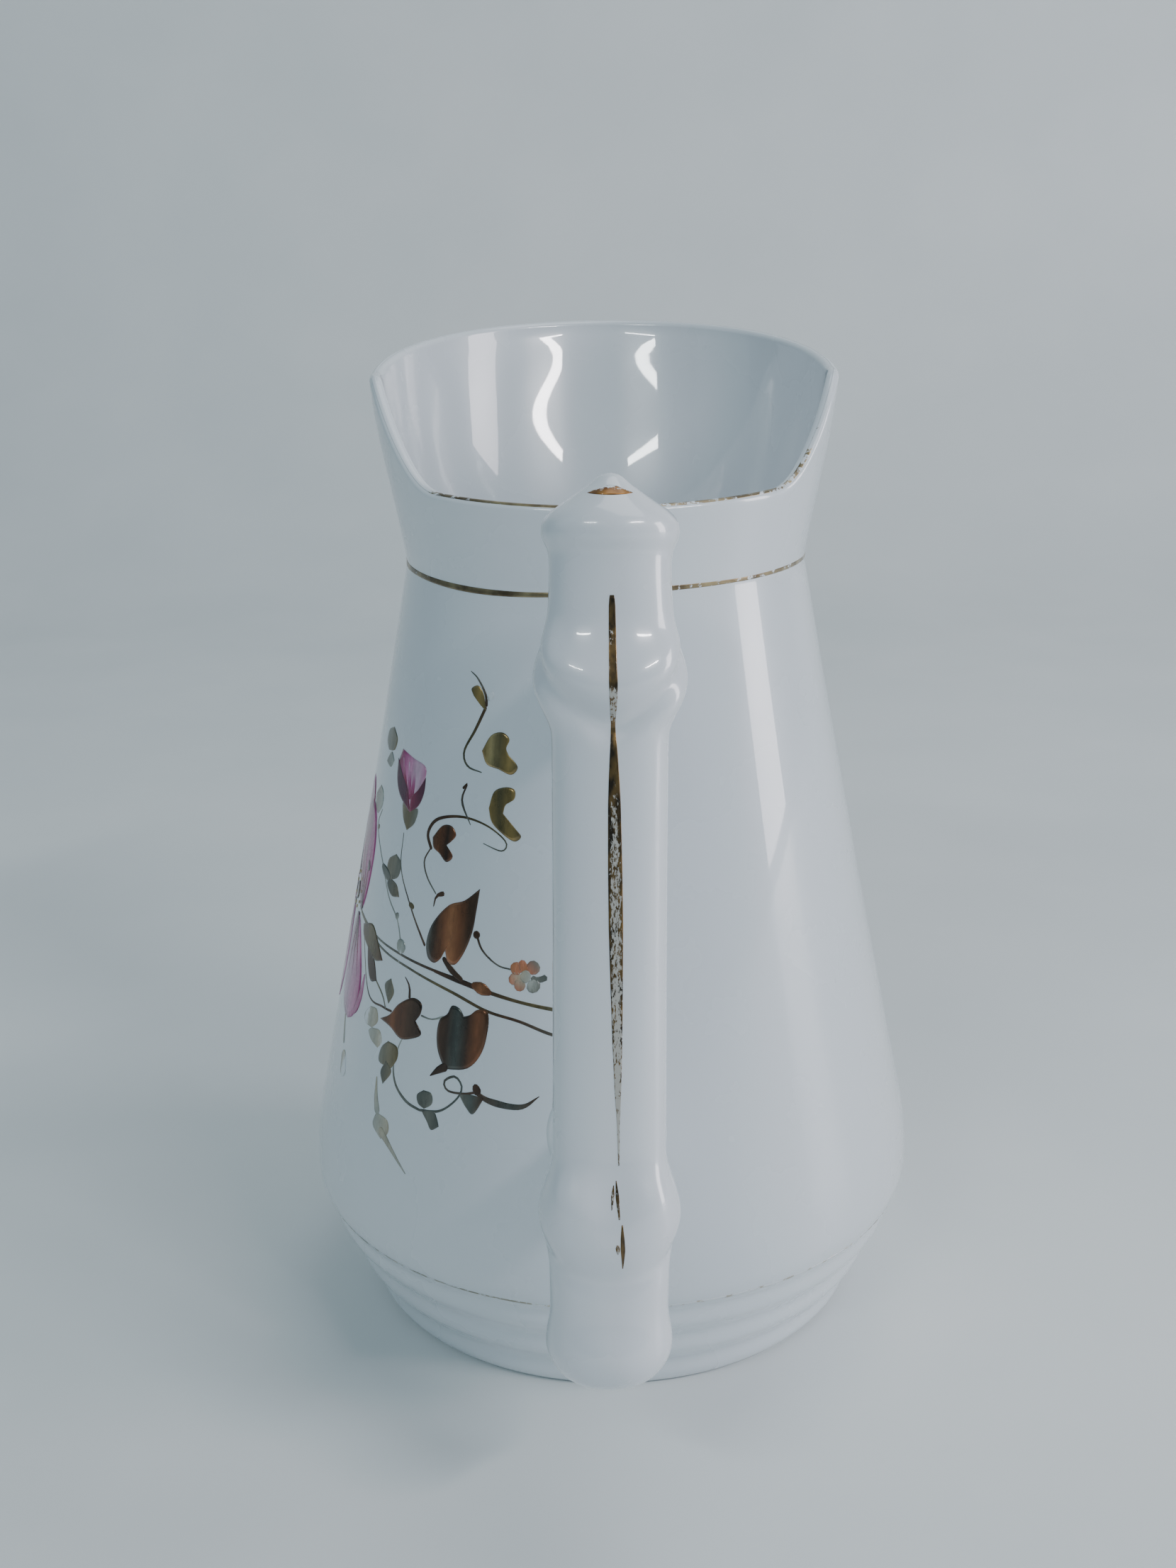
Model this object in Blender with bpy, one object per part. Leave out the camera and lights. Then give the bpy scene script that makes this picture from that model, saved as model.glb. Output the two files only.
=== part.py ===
"""Porcelain cream jug: a slip-cast body, a luted baluster handle and painted gilt lines.

Metres, +Z up. The handle stands on the -Y side, the spout points to +Y, and the jug rests on z = 0.
The origin lies under the middle of the whole jug, so the body's own axis is a little towards +Y.
Angles round the body are counted from the handle (0) to the spout (pi).
"""

import math

import bmesh
import bpy
from mathutils import Vector

MM = 0.001
SEGMENTS = 72  # facets round the body
FIT_GAP = 0.3 * MM  # clearance left between pieces that touch on the real jug
GILT_THICKNESS = 0.3 * MM

# Body
NECK_HEIGHT = 131 * MM
NECK_RADIUS = 32.8 * MM
CONE_FOOT_HEIGHT = 35.4 * MM
CONE_FOOT_RADIUS = 51.8 * MM
CONE_HOLLOW = 0.07  # how far the long side bends in, as a share of its spread
SHOULDER_HEIGHT = 24 * MM
SHOULDER_RADIUS = 53.1 * MM
FOOT_TOP_HEIGHT = 20.8 * MM
FOOT_TOP_RADIUS = 52.4 * MM
BASE_RADIUS = 41.8 * MM
FOOT_RING_WIDTH = 3.4 * MM
FOOT_RECESS = 3.5 * MM
WALL = 2.5 * MM
LIP = 2.0 * MM
LIP_ROUND = 0.9 * MM
LIP_EDGE = 0.5 * MM
FLOOR_HEIGHT = 8 * MM
# two soft turned rings on the foot: out from the base edge, and up
FOOT_TURNINGS = [(0.8, 0.8), (2.3, 5.0), (3.2, 6.2), (5.2, 11.5), (6.2, 12.7), (8.9, 18.4)]
# the inside's rounded floor: radius and height
FLOOR_CURVE = [(49.0, 21.0), (46.0, 15.0), (41.5, 11.0), (34.0, 8.6)]

# Mouth
RIM_LOW = 144.3 * MM  # rim height behind the handle
RIM_DISH = 1.0 * MM
RIM_RISE = 15.7 * MM  # the step up to the cheeks of the spout
RISE_START = math.radians(53)
RISE_END = math.radians(80)
RISE_EASE = 0.35  # 0 is a straight ramp up to the cheeks; more eases both its ends
SPOUT_TIP_HEIGHT = 166 * MM
COLLAR_HEIGHT = 29.5 * MM
COLLAR_FLARE = 4.9 * MM
SPOUT_REACH = 7.6 * MM  # how much further the spout reaches than a round collar

# Handle: a leaning bar, measured upwards along its own axis
HANDLE_FOOT_X = -1.55 * MM
HANDLE_FOOT_Y = -83.7 * MM
HANDLE_FOOT_Z = 29.5 * MM
HANDLE_LEAN = math.radians(10.88)
HANDLE_SKEW = math.radians(0.75)  # luted on by hand, a little out of upright
HANDLE_LENGTH = 125.5 * MM
KNOB_HEIGHT = 6.9 * MM
LOWER_KNUCKLE = 25.8 * MM
UPPER_KNUCKLE = 98.6 * MM
CAP_HEIGHT = 117.9 * MM
HANDLE_SEGMENTS = 24
HANDLE_SQUARENESS = 2.3  # 2 is an ellipse; more is a softly squared section

# Height along the handle, half width and half depth of each turning of the baluster
HANDLE_SECTIONS = [
    (KNOB_HEIGHT, 8.8 * MM, 8.0 * MM),
    (12.5 * MM, 8.2 * MM, 7.0 * MM),
    (16.6 * MM, 8.3 * MM, 7.0 * MM),
    (LOWER_KNUCKLE, 9.5 * MM, 8.2 * MM),
    (33.8 * MM, 7.8 * MM, 6.4 * MM),
    (90.9 * MM, 7.8 * MM, 6.4 * MM),
    (UPPER_KNUCKLE, 10.1 * MM, 8.4 * MM),
    (106.5 * MM, 8.3 * MM, 6.9 * MM),
    (112.1 * MM, 8.2 * MM, 6.9 * MM),
    (CAP_HEIGHT, 8.9 * MM, 7.9 * MM),
    (120.6 * MM, 8.0 * MM, 7.3 * MM),
    (122.4 * MM, 5.6 * MM, 5.2 * MM),
    (124.2 * MM, 2.9 * MM, 2.8 * MM),
]
SECTION_STEPS = 3  # rings from turning to turning, where they are further apart than this:
SHORT_SECTION = 3 * MM

# Arms that join the bar to the body
ARM_WAIST = 5.2 * MM
ARM_ROOT = 6.4 * MM
ARM_SEGMENTS = 20
SLIP_WIDTH = 2.6 * MM
SLIP_HEIGHT = 2.0 * MM
SLIP_EDGE = 0.5 * MM

# Gilding
NECK_BAND = 0.9 * MM
FOOT_BAND = 1.0 * MM
# section of the line on the lip, outwards and upwards from the lip's top outer corner
LIP_LINE_NEAR = [(0.42, -1.1), (-0.30, 0.36), (-1.2, 0.36)]
LIP_LINE_FAR = [(-1.2, 0.66), (-0.12, 0.66), (0.72, -1.1)]
STRIPE_START = 22 * MM
STRIPE_END = 110 * MM
STRIPE_HALF_WIDTH = 0.9 * MM
DAB_HEIGHT = 122.7 * MM
DAB_TALL = 1.3 * MM
DAB_HALF_ANGLE = math.radians(36)

PORCELAIN = (0.84, 0.87, 0.89, 1)
GOLD = (0.62, 0.44, 0.20, 1)


def smooth_step(share):
    share = min(max(share, 0.0), 1.0)
    return share * share * (3 - 2 * share)


# ---------------------------------------------------------------- body shape


def cone_radius(z):
    share = (NECK_HEIGHT - z) / (NECK_HEIGHT - CONE_FOOT_HEIGHT)
    bend = CONE_HOLLOW * share * (1 - share)
    return NECK_RADIUS + (CONE_FOOT_RADIUS - NECK_RADIUS) * (share - bend)


def outer_radius(z):
    """Outer radius of the round part, from the foot's top edge to the neck."""
    if z >= CONE_FOOT_HEIGHT:
        return cone_radius(z)
    if z >= SHOULDER_HEIGHT:
        share = (z - SHOULDER_HEIGHT) / (CONE_FOOT_HEIGHT - SHOULDER_HEIGHT)
        return SHOULDER_RADIUS - (SHOULDER_RADIUS - CONE_FOOT_RADIUS) * share**2
    share = (SHOULDER_HEIGHT - z) / (SHOULDER_HEIGHT - FOOT_TOP_HEIGHT)
    return SHOULDER_RADIUS - (SHOULDER_RADIUS - FOOT_TOP_RADIUS) * share**2


def rise_share(angle):
    share = (abs(angle) - RISE_START) / (RISE_END - RISE_START)
    share = min(max(share, 0.0), 1.0)
    return share - RISE_EASE * math.sin(math.tau * share) / math.tau


def rim_height(angle):
    """Height of the lip: low behind the handle, a steep rise, then a gentle slope to the spout."""
    low = RIM_LOW + RIM_DISH * math.sin(angle) ** 2
    if abs(angle) > math.pi / 2:
        low = RIM_LOW + RIM_DISH
    rise = RIM_RISE * rise_share(angle)
    cheek_top = RIM_LOW + RIM_DISH + RIM_RISE
    spout = (SPOUT_TIP_HEIGHT - cheek_top) * max(0.0, -math.cos(angle))
    return low + rise + spout


def collar_radius(angle, z):
    """Outer radius of the flared collar above the neck, drawn out to the spout in front."""
    share = (z - NECK_HEIGHT) / COLLAR_HEIGHT
    side = NECK_RADIUS + COLLAR_FLARE * (share + 0.085 * math.sin(math.pi * share**2))
    tip_share = (z - NECK_HEIGHT) / (SPOUT_TIP_HEIGHT - NECK_HEIGHT)
    front = side + SPOUT_REACH * max(tip_share, 0.0) ** 1.4
    depth = front if math.cos(angle) < 0 else side
    return 1 / math.hypot(math.sin(angle) / side, math.cos(angle) / depth)


def on_body(angle, radius, z):
    return Vector((radius * math.sin(angle), -radius * math.cos(angle), z))


def around(radius_and_height):
    """One ring of points round the body, from a function that gives radius and height at an angle."""
    ring = []
    for step in range(SEGMENTS):
        angle = math.tau * step / SEGMENTS
        if angle > math.pi:
            angle -= math.tau
        radius, z = radius_and_height(angle)
        ring.append(on_body(angle, radius, z))
    return ring


def level_ring(radius, z):
    return around(lambda angle: (radius, z))


def collar_ring(share, inset):
    """A ring at a share of the way from the neck to the lip's rounding, inset from the outside."""

    def place(angle):
        z = NECK_HEIGHT + share * (rim_height(angle) - LIP_ROUND - NECK_HEIGHT)
        return collar_radius(angle, z) - inset, z

    return around(place)


def lip_ring(inset, drop):
    def place(angle):
        z = rim_height(angle)
        return collar_radius(angle, z) - inset, z - drop

    return around(place)


# ---------------------------------------------------------------- meshes


def closed_mesh(name, rings, loop=False):
    """A closed mesh through rings of points; a ring of one point is a pole; loop joins last to first."""
    mesh = bpy.data.meshes.new(name)
    bm = bmesh.new()
    rows = [[bm.verts.new(point) for point in ring] for ring in rings]
    pairs = list(zip(rows, rows[1:]))
    if loop:
        pairs.append((rows[-1], rows[0]))
    for low, high in pairs:
        count = max(len(low), len(high))
        for step in range(count):
            after = (step + 1) % count
            corners = [low[step % len(low)], low[after % len(low)]]
            corners += [high[after % len(high)], high[step % len(high)]]
            face = list(dict.fromkeys(corners))
            bm.faces.new(face)
    bmesh.ops.recalc_face_normals(bm, faces=bm.faces)
    bm.to_mesh(mesh)
    bm.free()
    mesh.shade_smooth()
    mesh.set_sharp_from_angle(angle=math.radians(42))
    return mesh


def make_material(name, colour, roughness, metallic):
    material = bpy.data.materials.new(name)
    material.use_nodes = True
    shader = material.node_tree.nodes["Principled BSDF"]
    shader.inputs["Base Color"].default_value = colour
    shader.inputs["Roughness"].default_value = roughness
    shader.inputs["Metallic"].default_value = metallic
    return material


def add_piece(mesh, material, parent):
    piece = bpy.data.objects.new(mesh.name, mesh)
    mesh.materials.append(material)
    bpy.context.scene.collection.objects.link(piece)
    piece.parent = parent
    return piece


def add_empty(name, parent=None):
    empty = bpy.data.objects.new(name, None)
    bpy.context.scene.collection.objects.link(empty)
    empty.parent = parent
    return empty


# ---------------------------------------------------------------- jug body


def body_rings():
    rings = [[Vector((0, 0, FOOT_RECESS))]]
    rings.append(level_ring(BASE_RADIUS - FOOT_RING_WIDTH - 1 * MM, FOOT_RECESS))
    rings.append(level_ring(BASE_RADIUS - FOOT_RING_WIDTH, 0))
    rings.append(level_ring(BASE_RADIUS, 0))
    for out, up in FOOT_TURNINGS:
        rings.append(level_ring(BASE_RADIUS + out * MM, up * MM))
    shoulder = [FOOT_TOP_HEIGHT, 22.4 * MM, SHOULDER_HEIGHT, 27.5 * MM, 31.5 * MM, CONE_FOOT_HEIGHT]
    cone = [60 * MM, 84 * MM, 108 * MM, NECK_HEIGHT]
    for z in shoulder + cone:
        rings.append(level_ring(outer_radius(z), z))
    for share in (0.3, 0.65, 1.0):
        rings.append(collar_ring(share, 0))
    rings.append(lip_ring(LIP_EDGE, 0))
    rings.append(lip_ring(LIP - LIP_EDGE, 0))
    for share in (1.0, 0.65, 0.3):
        rings.append(collar_ring(share, LIP + (WALL - LIP) * (1 - share)))
    for z in reversed([SHOULDER_HEIGHT, CONE_FOOT_HEIGHT] + cone):
        rings.append(level_ring(outer_radius(z) - WALL, z))
    for radius, up in FLOOR_CURVE:
        rings.append(level_ring(radius * MM, up * MM))
    rings.append([Vector((0, 0, FLOOR_HEIGHT))])
    return rings


# ---------------------------------------------------------------- handle shape


def handle_half_sizes(height):
    """Half width and half depth at a height along the handle, eased from turning to turning."""
    first = HANDLE_SECTIONS[0]
    if height <= first[0]:
        share = math.sqrt(max(0.0, 1 - ((first[0] - height) / first[0]) ** 2))
        return first[1] * share, first[2] * share
    for low, high in zip(HANDLE_SECTIONS, HANDLE_SECTIONS[1:]):
        if height <= high[0]:
            share = (height - low[0]) / (high[0] - low[0])
            if high[0] - low[0] > SHORT_SECTION:
                share = smooth_step(share)
            return tuple(a + (b - a) * share for a, b in zip(low[1:], high[1:]))
    last = HANDLE_SECTIONS[-1]
    share = math.sqrt(max(0.0, (HANDLE_LENGTH - height) / (HANDLE_LENGTH - last[0])))
    return last[1] * share, last[2] * share


def on_handle(height, angle, lift=0.0):
    """A point on the handle's skin in its own frame: angle 0 is the outer face, -Y."""
    half_width, half_depth = handle_half_sizes(height)
    power = 2 / HANDLE_SQUARENESS
    across = math.copysign(abs(math.sin(angle)) ** power, math.sin(angle))
    out = math.copysign(abs(math.cos(angle)) ** power, math.cos(angle))
    return Vector(((half_width + lift) * across, -(half_depth + lift) * out, height))


def handle_heights():
    heights = [1.0 * MM, 3.2 * MM]
    for low, high in zip(HANDLE_SECTIONS, HANDLE_SECTIONS[1:]):
        steps = SECTION_STEPS if high[0] - low[0] > SHORT_SECTION else 1
        for step in range(steps):
            heights.append(low[0] + (high[0] - low[0]) * step / steps)
    heights.append(HANDLE_SECTIONS[-1][0])
    return heights


def bar_rings():
    rings = [[Vector((0, 0, 0))]]
    for height in handle_heights():
        turn = math.tau / HANDLE_SEGMENTS
        rings.append([on_handle(height, turn * step) for step in range(HANDLE_SEGMENTS)])
    rings.append([Vector((0, 0, HANDLE_LENGTH))])
    return rings


def reach_to_body(x, height):
    """Distance from the handle's axis to the body's side, square to the handle."""
    near, far = 0.0, 60 * MM
    for _ in range(40):
        reach = (near + far) / 2
        y = HANDLE_FOOT_Y + reach * math.cos(HANDLE_LEAN) + height * math.sin(HANDLE_LEAN)
        up = height * math.cos(HANDLE_LEAN) - reach * math.sin(HANDLE_LEAN)
        side = HANDLE_FOOT_X + x * math.cos(HANDLE_SKEW) + up * math.sin(HANDLE_SKEW)
        z = HANDLE_FOOT_Z + up * math.cos(HANDLE_SKEW) - x * math.sin(HANDLE_SKEW)
        if math.hypot(side, y) > outer_radius(z):
            near = reach
        else:
            far = reach
    return near


def arm_rings(centre):
    """An arm from the bar's middle to just short of the body, waisted halfway."""
    rings = [[Vector((0, 0, centre))]]
    for share in (0.0, 0.25, 0.45, 0.65, 0.82, 0.93, 1.0):
        flare = (2 * share - 0.9) ** 2
        half = ARM_WAIST + (ARM_ROOT - ARM_WAIST) * min(flare, 1.0)
        ring = []
        for step in range(ARM_SEGMENTS):
            angle = math.tau * step / ARM_SEGMENTS
            x = half * math.sin(angle)
            up = half * math.cos(angle)
            root = reach_to_body(ARM_ROOT * math.sin(angle), centre + ARM_ROOT * math.cos(angle))
            ring.append(Vector((x, share * (root - FIT_GAP), centre + up)))
        rings.append(ring)
    rings.append([Vector((0, reach_to_body(0, centre) - FIT_GAP, centre))])
    return rings


def slip_rings(centre):
    """A fillet of fired slip round an arm's root: a ring of wedge section lying on the body."""
    inner = ARM_ROOT + FIT_GAP
    outer = inner + SLIP_WIDTH
    section = [(inner, 0.0), (outer, 0.0), (outer, SLIP_EDGE), (inner, SLIP_HEIGHT)]
    rings = []
    for step in range(ARM_SEGMENTS):
        angle = math.tau * step / ARM_SEGMENTS
        ring = []
        for radius, lift in section:
            x = radius * math.sin(angle)
            height = centre + radius * math.cos(angle)
            ring.append(Vector((x, reach_to_body(x, height) - FIT_GAP - lift, height)))
        rings.append(ring)
    return rings


# ---------------------------------------------------------------- gilding shapes


def band_rings(middle, width, radius_at):
    """A thin flat band round the body."""
    rings = []
    for z, lift in [(-1, 0), (1, 0), (1, 1), (-1, 1)]:
        height = middle + z * width / 2
        rings.append(level_ring(radius_at(height) + FIT_GAP + lift * GILT_THICKNESS, height))
    return rings


def neck_radius(z):
    return outer_radius(z) if z < NECK_HEIGHT else collar_radius(0, z)


def rim_gilding_rings():
    """A line that wraps the top and the outer edge of the lip."""
    return [lip_ring(-out * MM, -up * MM) for out, up in LIP_LINE_NEAR + LIP_LINE_FAR]


def skin_patch_rings(heights, half_angle_at, steps):
    """A thin plate over the handle's outer face, from rows at the given heights."""
    rings = []
    for height in heights:
        half = half_angle_at(height)
        angles = [half * (2 * step / steps - 1) for step in range(steps + 1)]
        low = [on_handle(height, angle, FIT_GAP) for angle in angles]
        high = [on_handle(height, angle, FIT_GAP + GILT_THICKNESS) for angle in reversed(angles)]
        rings.append(low + high)
    return rings


def capped(rings):
    """Rings closed by a middle point at each end."""
    first = sum(rings[0], Vector()) / len(rings[0])
    last = sum(rings[-1], Vector()) / len(rings[-1])
    return [[first]] + rings + [[last]]


def stripe_rings():
    def half_angle(height):
        share = (height - STRIPE_START) / (STRIPE_END - STRIPE_START)
        width = STRIPE_HALF_WIDTH * (0.35 + 0.65 * math.sin(math.pi * share))
        half_width = handle_half_sizes(height)[0]
        return math.asin((width / half_width) ** (HANDLE_SQUARENESS / 2))

    inside = [h for h in handle_heights() if STRIPE_START < h < STRIPE_END]
    return capped(skin_patch_rings([STRIPE_START] + inside + [STRIPE_END], half_angle, 2))


def dab_rings():
    """A crescent of gold on the outer face of the finial's slope."""
    rings = []
    steps = 8
    for step in range(steps + 1):
        angle = DAB_HALF_ANGLE * (2 * step / steps - 1)
        tall = DAB_TALL * (1 - 0.8 * (2 * step / steps - 1) ** 2)
        low = DAB_HEIGHT - 0.15 * tall
        high = low + tall
        ring = [on_handle(low, angle, FIT_GAP), on_handle(high, angle, FIT_GAP)]
        ring += [on_handle(high, angle, FIT_GAP + GILT_THICKNESS)]
        ring += [on_handle(low, angle, FIT_GAP + GILT_THICKNESS)]
        rings.append(ring)
    return capped(rings)


# ---------------------------------------------------------------- assembly


def build_handle(parent, material):
    handle = add_piece(closed_mesh("handle", bar_rings()), material, parent)
    for name, centre in [("upper_arm", UPPER_KNUCKLE), ("lower_arm", LOWER_KNUCKLE)]:
        arm = add_piece(closed_mesh(name, arm_rings(centre)), material, parent)
        arm.hide_render = True
        arm.display_type = "WIRE"
        union = handle.modifiers.new(name, "BOOLEAN")
        union.operation = "UNION"
        union.object = arm


def main():
    for old in list(bpy.data.objects):
        bpy.data.objects.remove(old, do_unlink=True)

    body_axis = add_empty("body_axis")
    handle_axis = add_empty("handle_axis", body_axis)
    handle_axis.location = (HANDLE_FOOT_X, HANDLE_FOOT_Y, HANDLE_FOOT_Z)
    handle_axis.rotation_euler = (-HANDLE_LEAN, HANDLE_SKEW, 0)

    porcelain = make_material("porcelain", PORCELAIN, 0.12, 0.0)
    handle_porcelain = make_material("handle_porcelain", PORCELAIN, 0.12, 0.0)
    slip = make_material("luting_slip", PORCELAIN, 0.18, 0.0)
    gold = make_material("gilding", GOLD, 0.35, 0.9)

    add_piece(closed_mesh("jug_body", body_rings()), porcelain, body_axis)
    build_handle(handle_axis, handle_porcelain)
    for name, centre in [("upper_luting_slip", UPPER_KNUCKLE), ("lower_luting_slip", LOWER_KNUCKLE)]:
        add_piece(closed_mesh(name, slip_rings(centre), loop=True), slip, handle_axis)

    foot_band = band_rings(FOOT_TOP_HEIGHT, FOOT_BAND, outer_radius)
    neck_band = band_rings(NECK_HEIGHT, NECK_BAND, neck_radius)
    add_piece(closed_mesh("rim_gilding", rim_gilding_rings(), loop=True), gold, body_axis)
    add_piece(closed_mesh("neck_gilding", neck_band, loop=True), gold, body_axis)
    add_piece(closed_mesh("foot_gilding", foot_band, loop=True), gold, body_axis)
    add_piece(closed_mesh("grip_gilding", stripe_rings()), gold, handle_axis)
    add_piece(closed_mesh("finial_gilding", dab_rings()), gold, handle_axis)

    knob_depth = HANDLE_SECTIONS[0][2]
    lean_in = KNOB_HEIGHT * math.sin(HANDLE_LEAN)
    handle_reach = -HANDLE_FOOT_Y - lean_in + knob_depth * math.cos(HANDLE_LEAN)
    body_axis.location.y = (handle_reach - SHOULDER_RADIUS) / 2


main()
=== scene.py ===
"""Looks of the porcelain cream jug: fine glazed surfaces, worn gilding and the painted flower spray.

Metres, +Z up, in the CAD frame. The handle is on the -Y side. Angles round the body are counted from
the handle, towards +X. Paint is placed by its turn in degrees to the left of the handle, towards -X, and
its height in millimetres.
"""

import math

import bmesh
import bpy
import numpy as np
from mathutils import Matrix, Vector


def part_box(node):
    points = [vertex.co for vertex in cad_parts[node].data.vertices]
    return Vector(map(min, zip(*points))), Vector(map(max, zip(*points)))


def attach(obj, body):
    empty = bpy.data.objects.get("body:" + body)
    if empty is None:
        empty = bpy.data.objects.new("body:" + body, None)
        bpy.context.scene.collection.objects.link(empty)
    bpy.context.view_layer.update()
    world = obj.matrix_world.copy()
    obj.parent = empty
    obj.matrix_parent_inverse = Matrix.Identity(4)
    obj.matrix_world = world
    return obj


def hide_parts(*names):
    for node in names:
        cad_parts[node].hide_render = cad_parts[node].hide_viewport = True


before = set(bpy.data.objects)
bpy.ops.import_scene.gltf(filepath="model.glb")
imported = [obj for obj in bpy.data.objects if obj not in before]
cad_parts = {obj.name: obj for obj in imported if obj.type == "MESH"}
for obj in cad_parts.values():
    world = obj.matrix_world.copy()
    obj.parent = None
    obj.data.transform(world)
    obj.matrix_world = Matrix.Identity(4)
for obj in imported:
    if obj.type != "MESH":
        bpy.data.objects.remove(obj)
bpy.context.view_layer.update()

# ---------------------------------------------------------------- sizes, from the frame

body_low, body_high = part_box("jug_body")
neck_low, neck_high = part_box("neck_gilding")
foot_low, foot_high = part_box("foot_gilding")
handle_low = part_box("handle")[0]

MM = body_high.z / 166  # a millimetre on the jug
AXIS_Y = (body_low.y + body_high.y) / 2
SHOULDER_RADIUS = (body_high.x - body_low.x) / 2
NECK_HEIGHT = (neck_low.z + neck_high.z) / 2
FOOT_TOP_HEIGHT = (foot_low.z + foot_high.z) / 2
SPOUT_TIP_HEIGHT = body_high.z
HANDLE_FOOT_Z = handle_low.z

NECK_RADIUS = 32.8 * MM
CONE_FOOT_HEIGHT = 35.4 * MM
CONE_FOOT_RADIUS = 51.8 * MM
CONE_HOLLOW = 0.07
SHOULDER_HEIGHT = 24 * MM
FOOT_TOP_RADIUS = 52.4 * MM
BASE_RADIUS = 41.8 * MM
FOOT_RING_WIDTH = 3.4 * MM
FOOT_RECESS = 3.5 * MM
WALL = 2.5 * MM
LIP_ROUND = 1.0 * MM

RIM_LOW = 144.3 * MM
RIM_DISH = 1.0 * MM
RIM_RISE = 15.7 * MM
RISE_START = math.radians(53)
RISE_END = math.radians(80)
RISE_EASE = 0.35
COLLAR_HEIGHT = 29.5 * MM
COLLAR_FLARE = 4.9 * MM
SPOUT_REACH = 7.6 * MM

HANDLE_FOOT_X = -1.55 * MM
HANDLE_FOOT_Y = -83.7 * MM
HANDLE_LEAN = math.radians(10.88)
HANDLE_SKEW = math.radians(0.75)  # luted on by hand, a little out of upright
HANDLE_LENGTH = 125.5 * MM
LOWER_KNUCKLE = 25.8 * MM
UPPER_KNUCKLE = 98.6 * MM
ARM_WAIST = 5.2 * MM
ARM_ROOT = 6.4 * MM
ARM_SINK = 0.25 * MM  # how far an arm's root goes under the glaze
BAR_SHARE = 0.19  # share of an arm's length that lies inside the bar
BAR_FLARE = 1.6 * MM  # how much wider an arm is where it leaves the bar
SLIP_WIDTH = 2.9 * MM
SLIP_HEIGHT = 2.3 * MM
SLIP_SINK = 0.15 * MM

SEGMENTS = 240
ROUND = np.arange(SEGMENTS) * math.tau / SEGMENTS
HANDLE_SEGMENTS = 96
ARM_SEGMENTS = 64
SLIP_SEGMENTS = 80


def smooth_step(share):
    share = np.clip(share, 0.0, 1.0)
    return share * share * (3 - 2 * share)


def wrapped(angle):
    return (np.asarray(angle, float) + math.pi) % math.tau - math.pi


# ---------------------------------------------------------------- body shape


def outer_radius(z):
    """Outer radius of the round part between the foot's top edge and the neck."""
    z = np.asarray(z, float)
    share = (NECK_HEIGHT - z) / (NECK_HEIGHT - CONE_FOOT_HEIGHT)
    spread = CONE_FOOT_RADIUS - NECK_RADIUS
    cone = NECK_RADIUS + spread * (share - CONE_HOLLOW * share * (1 - share))
    above = (z - SHOULDER_HEIGHT) / (CONE_FOOT_HEIGHT - SHOULDER_HEIGHT)
    below = (SHOULDER_HEIGHT - z) / (SHOULDER_HEIGHT - FOOT_TOP_HEIGHT)
    upper = SHOULDER_RADIUS - (SHOULDER_RADIUS - CONE_FOOT_RADIUS) * above**2
    lower = SHOULDER_RADIUS - (SHOULDER_RADIUS - FOOT_TOP_RADIUS) * below**2
    return np.where(z >= CONE_FOOT_HEIGHT, cone, np.where(z >= SHOULDER_HEIGHT, upper, lower))


def foot_radius(z):
    """The foot's taper with three soft turned beads."""
    share = z / FOOT_TOP_HEIGHT
    taper = (BASE_RADIUS + 0.4 * MM) * (1 - share) + FOOT_TOP_RADIUS * share
    return taper + 0.5 * MM * math.sin(3 * math.tau * share)


def raw_rim(angle):
    """Height of the lip with sharp corners: low behind the handle, up at the cheeks, highest at the spout."""
    turn = np.abs(wrapped(angle))
    share = np.clip((turn - RISE_START) / (RISE_END - RISE_START), 0, 1)
    rise = RIM_RISE * (share - RISE_EASE * np.sin(math.tau * share) / math.tau)
    low = RIM_LOW + RIM_DISH * np.where(turn > math.pi / 2, 1.0, np.sin(turn) ** 2)
    cheek_top = RIM_LOW + RIM_DISH + RIM_RISE
    return low + rise + (SPOUT_TIP_HEIGHT - cheek_top) * np.clip(-np.cos(turn), 0, 1)


def rim_height(angle):
    """Height of the lip, softly rounded at the foot of the rise and tightly at the cheeks."""
    turn = np.abs(wrapped(angle))
    spread = np.radians(np.where(turn < math.radians(66), 5.0, 1.6))
    return np.mean([raw_rim(angle + spread * step) for step in np.linspace(-1, 1, 9)], axis=0)


def collar_radius(angle, z):
    """Outer radius above the neck: round behind, drawn out to the spout in front."""
    share = (z - NECK_HEIGHT) / COLLAR_HEIGHT
    side = NECK_RADIUS + COLLAR_FLARE * (share + 0.085 * np.sin(math.pi * share**2))
    tip_share = np.clip((z - NECK_HEIGHT) / (SPOUT_TIP_HEIGHT - NECK_HEIGHT), 0, None)
    front = side + SPOUT_REACH * tip_share**1.4
    depth = np.where(np.cos(angle) < 0, front, side)
    return 1 / np.hypot(np.sin(angle) / side, np.cos(angle) / depth)


def lip_row(beta, lift=0.0, angle=ROUND):
    """A row on the lip's half-round edge: beta is 0 outside, a quarter turn on top."""
    centre = rim_height(angle) - LIP_ROUND
    radius = collar_radius(angle, centre) - LIP_ROUND
    reach = LIP_ROUND + lift
    return radius + reach * np.cos(beta), centre + reach * np.sin(beta)


def level_row(radius, z):
    return np.full(SEGMENTS, float(radius)), np.full(SEGMENTS, float(z))


def collar_row(share, inset=0.0):
    """A row that lies at one share of the way from the neck to the lip all round."""
    z = NECK_HEIGHT + share * (rim_height(ROUND) - LIP_ROUND - NECK_HEIGHT)
    return collar_radius(ROUND, z) - inset, z


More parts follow.
